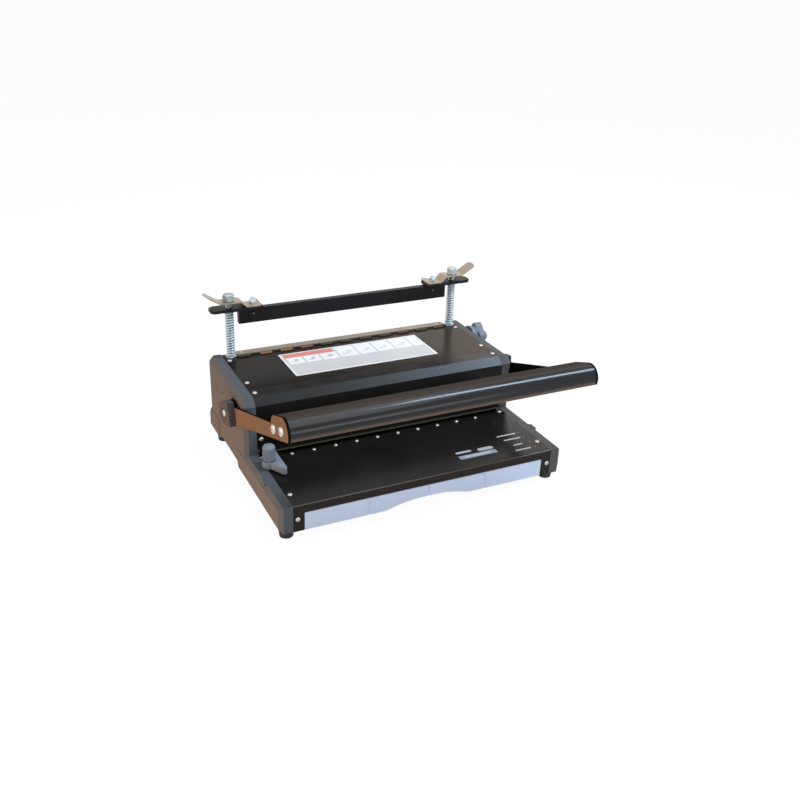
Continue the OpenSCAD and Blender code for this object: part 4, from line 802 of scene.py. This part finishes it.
def latch(name, node, body, side):
    """A bent sheet with round bends: base with an ear, step, notched shelf and finger tab."""
    lo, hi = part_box(node)
    g = LATCH
    stud_x = (lo.x + g["base"] * MM) if side > 0 else (hi.x - g["base"] * MM)
    stud_y = lo.y + g["cad_front"] * MM
    reach = (hi.x - lo.x) / MM - g["base"] - g["short"]
    mid, high = g["t"] / 2, g["step"] + g["t"] / 2
    corners = [(-g["base"], mid), (g["base"], mid), (g["base"] + g["step"], high), (g["far"], high),
               (reach, (hi.z - lo.z) / MM - mid)]
    path = bent_path(corners, [g["bend"], g["bend"], g["tab_bend"]])
    far = [0.0]
    for a, b in zip(path, path[1:]):
        far.append(far[-1] + (b - a).length)
    px, py, pr = g["post"]
    bm = bmesh.new()
    sections = []

    def section(k, front, back):
        """Below and above: front edge, both sides of the stud's hole (one where there is none), back edge."""
        d = (path[min(k + 1, len(path) - 1)] - path[max(k - 1, 0)]).normalized()
        up = Vector((-d.y, d.x)) * mid

        def pair(y):
            return [bm.verts.new((stud_x + side * q.x * MM, stud_y + y * MM, lo.z + q.y * MM))
                    for q in (path[k] - up, path[k] + up)]

        hole = g["hole"] ** 2 - path[k].x ** 2
        if hole > 0.01:
            inner = pair(-math.sqrt(hole)), pair(math.sqrt(hole))
        else:
            inner = (pair(0.0 if path[k].x < g["base"] else (front + back) / 2),) * 2
        sections.append((pair(front), *inner, pair(back)))

    def back_at(k):
        x = path[k].x
        if g["notch"][0] < x < g["notch"][1] and path[k].y > high - 0.1:
            return py - math.sqrt(max(0.0, pr * pr - (x - px) ** 2))
        if x < g["ear_to"]:
            return g["ear"] - rounded(far[k], g["corner"]) - rounded(g["ear_to"] - x, g["corner"])
        return g["back"] - rounded(far[-1] - far[k], g["tip"])

    for k in range(len(path)):
        front = g["front"] + rounded(far[k], g["corner"]) + rounded(far[-1] - far[k], g["tip"])
        back = back_at(k)
        if k and abs(back - back_at(k - 1)) > NOTCH_STEP:
            section(k, front, back_at(k - 1))
        section(k, front, back)
    for one, two in zip(sections, sections[1:]):
        for i, j in ((0, 1), (2, 3)):
            for level in (0, 1):
                bm.faces.new((one[i][level], one[j][level], two[j][level], two[i][level]))
        pierced = one[1] is not one[2] or two[1] is not two[2]
        for i in (0, 1, 2, 3) if pierced else (0, 3):
            bm.faces.new((one[i][0], one[i][1], two[i][1], two[i][0]))
    for end in (sections[0], sections[-1]):
        for i, j in ((0, 1), (2, 3)):
            bm.faces.new((end[i][0], end[j][0], end[j][1], end[i][1]))
    bmesh.ops.remove_doubles(bm, verts=bm.verts, dist=LATCH_JOIN)
    bmesh.ops.dissolve_degenerate(bm, edges=bm.edges, dist=LATCH_JOIN)
    outward(bm)
    return piece(name, bm, body, [M[SLOT_OF[node]]], (node,), 32)


latch("latch_sheet_left", "latch_left", "latch_l", -1)
latch("latch_sheet_right", "latch_right", "latch_r", 1)

# ---------------------------------------------------------------- side stop lever

STOP = {  # mm
    "at": (-166.5, 92.0, 46.3), "r": 7.5, "h": 28.2,            # foot, and the grip's radius and height
    "flutes": 20, "flute_deep": 0.85,
    "wing_h": 8.7, "wing_r": 3.5, "neck_r": 4.2, "boss": 0.8,   # plate, its corners, its end and the boss's rim
    "edge": 14.2, "front": 26.0, "back": 21.5,                  # the wing's straight edge and its two ends
}
PIN = {"r": 1.6, "tip_r": 1.1, "from": 2.0, "past": 4.0, "back": 9.0, "down": 3.0}     # mm
FLUTE_STEPS, CORNER_STEPS, BOSS_SIDES, PIN_SIDES = 6, 16, 64, 20     # fineness


def tangent(one, two):
    """Direction of the outer tangent's touching point on the first of two circles, the plate on the left."""
    (ax, ay, ar), (bx, by, br) = one, two
    return math.atan2(by - ay, bx - ax) - math.acos((ar - br) / math.hypot(bx - ax, by - ay))


def fluted_grip(bm, base):
    """The round grip: a neck, a fluted band and a rounded top."""
    low, h = STOP["wing_h"], STOP["h"]
    n = STOP["flutes"] * FLUTE_STEPS
    rings = []
    for z, flute, scale in ((low, 0.0, 0.80), (low + 1.0, 0.0, 0.80), (low + 1.1, 0.6, 1.0), (low + 1.6, 1.0, 1.0),
                            (h - 4.2, 1.0, 1.0), (h - 3.2, 0.3, 1.0), (h - 1.6, 0.0, 0.93), (h - 0.5, 0.0, 0.80),
                            (h, 0.0, 0.66)):
        ring = []
        for i in range(n):
            a = 2 * math.pi * i / n
            dip = STOP["flute_deep"] * flute * (0.5 - 0.5 * math.cos(STOP["flutes"] * a)) ** 1.6
            rad = STOP["r"] * scale - dip
            ring.append(bm.verts.new(base @ (Vector((rad * math.cos(a), rad * math.sin(a), z)) * MM)))
        rings.append(ring)
    tube(bm, rings)


def stop_lever():
    """A fluted round grip on a flat wing, with a small cross pin."""
    bm = bmesh.new()
    base = Matrix.Translation(at(*STOP["at"]))
    fluted_grip(bm, base)
    # the wing: a flat plate with a straight edge, and the round boss under the grip, both with a softened rim
    top, tip = STOP["wing_h"], STOP["wing_r"]
    corners = ((0.0, 0.0, STOP["neck_r"]), (STOP["edge"] - tip, tip - STOP["front"], tip),
               (STOP["edge"] - tip, STOP["back"] - tip, tip))
    plan = []
    for k, here in enumerate(corners):
        a0, a1 = tangent(corners[k - 1], here), tangent(here, corners[(k + 1) % 3])
        while a1 < a0:
            a1 += 2 * math.pi
        plan += [(*here, a0 + (a1 - a0) * i / CORNER_STEPS) for i in range(CORNER_STEPS + 1)]
    boss = [(0.0, 0.0, STOP["r"] + STOP["boss"], 2 * math.pi * i / BOSS_SIDES) for i in range(BOSS_SIDES)]
    for outline in (plan, boss):
        rings = []
        for z, inset in ((0.0, 0.4), (0.4, 0.0), (top - 0.5, 0.0), (top - 0.15, 0.15), (top, 0.5)):
            points = [(cx + (cr - inset) * math.cos(a), cy + (cr - inset) * math.sin(a)) for cx, cy, cr, a in outline]
            rings.append([bm.verts.new(base @ (Vector((x, y, z)) * MM)) for x, y in points])
        tube(bm, rings)
    place = Vector((STOP["edge"] - tip, STOP["back"] - PIN["back"], top - PIN["down"])) * MM
    turn = base @ Matrix.Translation(place) @ Matrix.Rotation(math.radians(-90), 4, "Y")
    reach = STOP["edge"] + PIN["past"]
    lathe(bm, [(0, PIN["from"]), (PIN["r"], PIN["from"]), (PIN["r"], reach - 0.5), (PIN["tip_r"], reach), (0, reach)],
          PIN_SIDES, turn)
    outward(bm)
    return piece("stop_grip", bm, "side_stop", [M["grip_grey"]], ("stop_lever",), 35)


stop_lever()

# ---------------------------------------------------------------- comb bar

COMB_RISE = 0.8                      # mm that the bar stands over the CAD comb
PRESS_GAP = 0.2                      # mm left under the press blade at its lowest
TOOTH_H, TOOTH_IN = 1.6, 0.6         # mm of height, and of each tooth's end inside the bar
COMB_SCREWS = (-144.5, 143.0)        # x in mm


def add_box(bm, lo, hi, soft):
    """A box between two corners, its edges softened."""
    part = bmesh.new()
    bmesh.ops.create_cube(part, size=1.0)
    for v in part.verts:
        v.co = Vector((lo[i] if v.co[i] < 0 else hi[i]) for i in range(3))
    bmesh.ops.bevel(part, geom=part.edges[:], offset=soft, segments=2, profile=0.5, affect="EDGES")
    merge(bm, part)


def comb_bar():
    """A flat bar as deep as the cover's rear edge, low teeth in front of it with painted shade, and two small screws.
    """
    lo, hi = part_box("comb_bar")
    xs = sorted({round(v.co.x, 6) for v in NODES["comb_bar"].data.vertices if v.co.y < lo.y + 0.2 * MM})
    top = min(hi.z + COMB_RISE * MM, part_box("press_blade")[0].z - PRESS_TRAVEL - PRESS_GAP * MM)
    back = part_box("top_cover")[1].y - 0.5 * MM
    front, step = lo.y + COMB_FRONT * MM, lo.y + COMB_STEP * MM
    bm = bmesh.new()
    add_box(bm, (lo.x, step, lo.z), (hi.x, back, top), 0.35 * MM)
    for x0, x1 in zip(xs[::2], xs[1::2]):
        add_box(bm, (x0, front, lo.z), (x1, step + TOOTH_IN * MM, lo.z + TOOTH_H * MM), 0.25 * MM)
    for x in COMB_SCREWS:
        spot = Matrix.Translation((ZERO.x + x * MM, (step + back) / 2, top))
        lathe(bm, [(0, 0.55), (0.9, 0.45), (1.5, 0.1), (1.6, -0.3), (0, -0.3)], 24, spot, 1)
    outward(bm)
    return piece("comb_strip", bm, "chassis", [M["comb_steel"], M["screw_steel"]], ("comb_bar",), 30)


comb_bar()

# ---------------------------------------------------------------- star knob and small marks

KNOB = {"r": 17.7, "lobe": 2.8, "lobes": 5, "turn": math.radians(84), "collar": 16.6}     # mm, radians
KNOB_SIDES, COLLAR_SIDES = 120, 72


def star_knob():
    """A five-lobed knob with rounded rims and a sunk middle, on its round collar."""
    lo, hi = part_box("star_knob")
    mid = (lo + hi) / 2
    end = (hi.x - lo.x) / MM
    bm = bmesh.new()
    rings = []
    for x, scale, wave in ((0.0, 0.90, 1.0), (0.4, 0.96, 1.0), (1.1, 1.0, 1.0), (end - 3.0, 1.0, 1.0),
                           (end - 1.4, 0.97, 1.0), (end - 0.5, 0.90, 1.0), (end - 0.1, 0.80, 0.8), (end, 0.70, 0.5),
                           (end - 0.3, 0.46, 0.0), (end - 1.2, 0.42, 0.0), (end - 1.4, 0.20, 0.0)):
        ring = []
        for i in range(KNOB_SIDES):
            a = 2 * math.pi * i / KNOB_SIDES
            rad = (KNOB["r"] + KNOB["lobe"] * wave * math.cos(KNOB["lobes"] * (a - KNOB["turn"]))) * scale
            ring.append(bm.verts.new((lo.x + x * MM, mid.y + rad * math.cos(a) * MM, mid.z + rad * math.sin(a) * MM)))
        rings.append(ring)
    tube(bm, rings)
    outward(bm)
    piece("knob_grip", bm, "side_knob", [M["grip_grey"]], ("star_knob",), 40)

    lo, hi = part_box("knob_collar")
    turn = Matrix.Translation((lo.x, mid.y, mid.z)) @ Matrix.Rotation(math.radians(90), 4, "Y")
    rad, deep = KNOB["collar"], (hi.x - lo.x) / MM
    bm = bmesh.new()
    lathe(bm, [(0, 0), (rad, 0), (rad, deep - 1.6), (rad - 0.4, deep - 0.7), (rad - 1.3, deep - 0.15),
               (rad - 2.4, deep), (0, deep)], COLLAR_SIDES, turn)
    outward(bm)
    piece("knob_flange", bm, "chassis", [M["grip_grey"]], ("knob_collar",), 40)


star_knob()

DIMPLES = ((242.1, 90.2), (238.5, 84.7), (216.8, 90.5))     # y and z in mm


def dimple_shade_discs():
    """Three small black discs on the left cheek's outer face that stand in for the shade in its dimples."""
    bm = bmesh.new()
    face = (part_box("left_cheek")[0].x - ZERO.x) / MM
    for y, z in DIMPLES:
        spot = Matrix.Translation(at(face, y, z)) @ Matrix.Rotation(math.radians(-90), 4, "Y")
        lathe(bm, [(0, 0.02), (0.55, 0.02), (0.85, 0.06), (1.1, 0.03), (1.15, -0.2), (0, -0.2)], 20, spot)
    outward(bm)
    piece("dimple_shade_discs", bm, "chassis", [M["black_plastic"]], (), 40)


dimple_shade_discs()

# ---------------------------------------------------------------- printed sheets


def plan_box(node):
    """A node's lowest and highest x and y in mm in the drawing."""
    lo, hi = ((v - ZERO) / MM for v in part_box(node))
    return lo.x, hi.x, lo.y, hi.y


def printed(name, node, cuts_x, cuts_y, ink, colours):
    """A thin sheet in a node's place, cut into cells that carry plain printed blocks."""
    lo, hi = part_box(node)
    xs = sorted({lo.x, hi.x, *[min(max(ZERO.x + x * MM, lo.x), hi.x) for x in cuts_x]})
    ys = sorted({lo.y, hi.y, *[min(max(ZERO.y + y * MM, lo.y), hi.y) for y in cuts_y]})
    bm = bmesh.new()
    top = [[bm.verts.new((x, y, hi.z)) for y in ys] for x in xs]
    feet = [bm.verts.new((x, y, lo.z)) for x, y in ((lo.x, lo.y), (hi.x, lo.y), (hi.x, hi.y), (lo.x, hi.y))]
    for i in range(len(xs) - 1):
        for j in range(len(ys) - 1):
            f = bm.faces.new((top[i][j], top[i + 1][j], top[i + 1][j + 1], top[i][j + 1]))
            x = ((xs[i] + xs[i + 1]) / 2 - ZERO.x) / MM
            y = ((ys[j] + ys[j + 1]) / 2 - ZERO.y) / MM
            f.material_index = colours.index(ink(x, y))
    rim = ([column[0] for column in top], top[-1], [column[-1] for column in top[::-1]], top[0][::-1])
    for k, edge in enumerate(rim):
        bm.faces.new([feet[k], feet[(k + 1) % 4]] + edge[::-1])
    bm.faces.new(feet[::-1])
    outward(bm)
    return piece(name, bm, "chassis", [PRINT[c] for c in colours], (node,))


def sticker():
    """The instruction sheet: a red bar and a row of white cells on a pale field, plain blocks for its drawings."""
    x0, x1, y0, y1 = plan_box("sticker")
    blocks = []                                        # (x0, x1, y0, y1, ink); the first one found is printed

    def block(u0, u1, v0, v1, col):
        """A block given in shares of the sheet's width and depth."""
        w, d = x1 - x0, y1 - y0
        blocks.append((x0 + u0 * w, x0 + u1 * w, y0 + v0 * d, y0 + v1 * d, col))

    small = ((0.030, 0.130), (0.145, 0.245), (0.260, 0.370))
    large = ((0.385, 0.510), (0.522, 0.640), (0.652, 0.770), (0.782, 0.905), (0.917, 0.985))
    for u0, u1 in small:
        block(u0 + 0.02, u1 - 0.04, 0.59, 0.63, "pale")
        block(u0 + 0.045, u1 - 0.03, 0.63, 0.70, "grey")
    for u0, u1 in large:
        block(u0 + 0.02, u1 - 0.05, 0.62, 0.655, "pale")
        block(u0 + 0.060, u1 - 0.03, 0.68, 0.74, "pale")
    block(0.02, 0.365, 0.800, 0.965, "red")
    for u0, u1 in small:
        block(u0, u1, 0.50, 0.785, "white")
    for u0, u1 in large:
        block(u0, u1, 0.50, 0.955, "white")
    for k in range(3):
        block(0.40, 0.72 - 0.07 * k, 0.40 - 0.07 * k, 0.41 - 0.07 * k, "grey")
    block(0.012, 0.990, 0.04, 0.97, "pale")

    def ink(x, y):
        return next((col for a, b, c, d, col in blocks if a < x < b and c < y < d), "white")

    xs = [v for blk in blocks for v in blk[:2]]
    ys = [v for blk in blocks for v in blk[2:4]]
    return printed("sticker_sheet", "sticker", xs, ys, ink, ["white", "red", "pale", "grey"])


sticker()


def badge():
    """The blue plate with one paler plain bar."""
    x0, x1, y0, y1 = plan_box("badge")
    bar = (x0 + 8, x1 - 8, y0 + 0.36 * (y1 - y0), y0 + 0.64 * (y1 - y0))

    def ink(x, y):
        return "white" if bar[0] < x < bar[1] and bar[2] < y < bar[3] else "blue"

    return printed("badge_sheet", "badge", bar[:2], bar[2:], ink, ["blue", "white"])


badge()

DECK_TOP, MARK_UP, MARK_T = 44.8, 0.06, 0.2     # mm: height, how far the print stands proud, its thickness
MARK_STEPS = 8


def deck_marks():
    """Plain bars printed on the deck: four beside the lamps, two over the blue plate."""
    bm = bmesh.new()
    top = DECK_TOP + MARK_UP
    for x0, x1, y, half in ((124, 152, 55, 1.3), (127, 152, 43, 1.3), (132, 146, 28, 1.3), (127, 150, 15, 1.3),
                            (54, 76, 36.5, 2.2), (84, 106, 34.5, 3.4)):
        outline = []
        for cx, start in ((x1 - half, -90), (x0 + half, 90)):
            for k in range(MARK_STEPS + 1):
                a = math.radians(start + 180 * k / MARK_STEPS)
                outline.append((cx + half * math.cos(a), y + half * math.sin(a)))
        tube(bm, [[bm.verts.new(at(px, py, z)) for px, py in outline] for z in (top - MARK_T, top)])
    outward(bm)
    return piece("deck_marks", bm, "chassis", [PRINT["mark"]])


deck_marks()

# ---------------------------------------------------------------- stage and light


def light_path_sum(nt):
    """1 for the rays that see the background: from the camera, mirrored or let through."""
    path = nt.nodes.new("ShaderNodeLightPath")
    a = nt.nodes.new("ShaderNodeMath")
    b = nt.nodes.new("ShaderNodeMath")
    a.operation = b.operation = "ADD"
    b.use_clamp = True
    nt.links.new(path.outputs["Is Camera Ray"], a.inputs[0])
    nt.links.new(path.outputs["Is Glossy Ray"], a.inputs[1])
    nt.links.new(a.outputs[0], b.inputs[0])
    nt.links.new(path.outputs["Is Transmission Ray"], b.inputs[1])
    return b.outputs[0]


def make_world():
    """Even, slightly warm fill light, and plain white where the background is seen."""
    world = bpy.data.worlds.new("World")
    scene.world = world
    world.use_nodes = True
    nt = world.node_tree
    fill = nt.nodes["Background"]
    fill.inputs["Color"].default_value = (1.0, 0.975, 0.945, 1)
    fill.inputs["Strength"].default_value = 0.22
    seen = nt.nodes.new("ShaderNodeBackground")
    seen.inputs["Color"].default_value = (1, 1, 1, 1)
    seen.inputs["Strength"].default_value = 1.0
    mix = nt.nodes.new("ShaderNodeMixShader")
    nt.links.new(light_path_sum(nt), mix.inputs["Fac"])
    nt.links.new(fill.outputs[0], mix.inputs[1])
    nt.links.new(seen.outputs[0], mix.inputs[2])
    nt.links.new(mix.outputs[0], nt.nodes["World Output"].inputs["Surface"])


def make_floor():
    """A wide pale floor that looks white and keeps the object's shadow."""
    bm = bmesh.new()
    bmesh.ops.create_grid(bm, x_segments=1, y_segments=1, size=40.0)
    mesh = bpy.data.meshes.new("floor")
    bm.to_mesh(mesh)
    bm.free()
    floor = bpy.data.objects.new("floor", mesh)
    scene.collection.objects.link(floor)
    mat = bpy.data.materials.new("floor_white")
    mat.use_nodes = True
    nt = mat.node_tree
    matt = nt.nodes["Principled BSDF"]
    matt.inputs["Base Color"].default_value = (0.86, 0.86, 0.86, 1)
    matt.inputs["Roughness"].default_value = 1.0
    matt.inputs["Specular IOR Level"].default_value = 0.0
    glow = nt.nodes.new("ShaderNodeEmission")
    glow.inputs["Strength"].default_value = 1.06
    share = nt.nodes.new("ShaderNodeMath")
    share.operation = "MULTIPLY"
    share.inputs[1].default_value = 0.90
    nt.links.new(light_path_sum(nt), share.inputs[0])
    mix = nt.nodes.new("ShaderNodeMixShader")
    nt.links.new(share.outputs[0], mix.inputs["Fac"])
    nt.links.new(matt.outputs[0], mix.inputs[1])
    nt.links.new(glow.outputs[0], mix.inputs[2])
    nt.links.new(mix.outputs[0], nt.nodes["Material Output"].inputs["Surface"])
    mesh.materials.append(mat)


def area(name, pos, aim, size, power, col):
    """A soft rectangular lamp, in metres and watts."""
    lamp = bpy.data.lights.new(name, "AREA")
    lamp.shape = "RECTANGLE"
    lamp.size, lamp.size_y = size
    lamp.energy = power
    lamp.color = col
    obj = bpy.data.objects.new(name, lamp)
    scene.collection.objects.link(obj)
    obj.location = pos
    obj.rotation_euler = (Vector(aim) - Vector(pos)).to_track_quat("-Z", "Y").to_euler()


make_world()
make_floor()
area("overhead", (0.22, -0.55, 1.90), (0.22, -0.55, 0.0), (1.5, 2.4), 21.0, (0.90, 0.94, 1.0))
area("strip", (1.05, -0.38, 1.62), (0, 0, 0.10), (0.34, 0.90), 19.0, (0.58, 0.78, 1.0))
area("front_fill", (0.20, -1.75, 0.35), (0, 0, 0.05), (1.4, 0.5), 4.5, (0.92, 0.96, 1.0))
area("warm_side", (-1.45, -0.15, 0.42), (0, 0, 0.06), (1.7, 0.75), 7.5, (1.0, 0.74, 0.52))
area("back_right", (1.25, 1.70, 0.95), (0, 0.05, 0.10), (0.8, 0.4), 1.2, (1.0, 0.88, 0.76))

scene.view_settings.view_transform = "Standard"
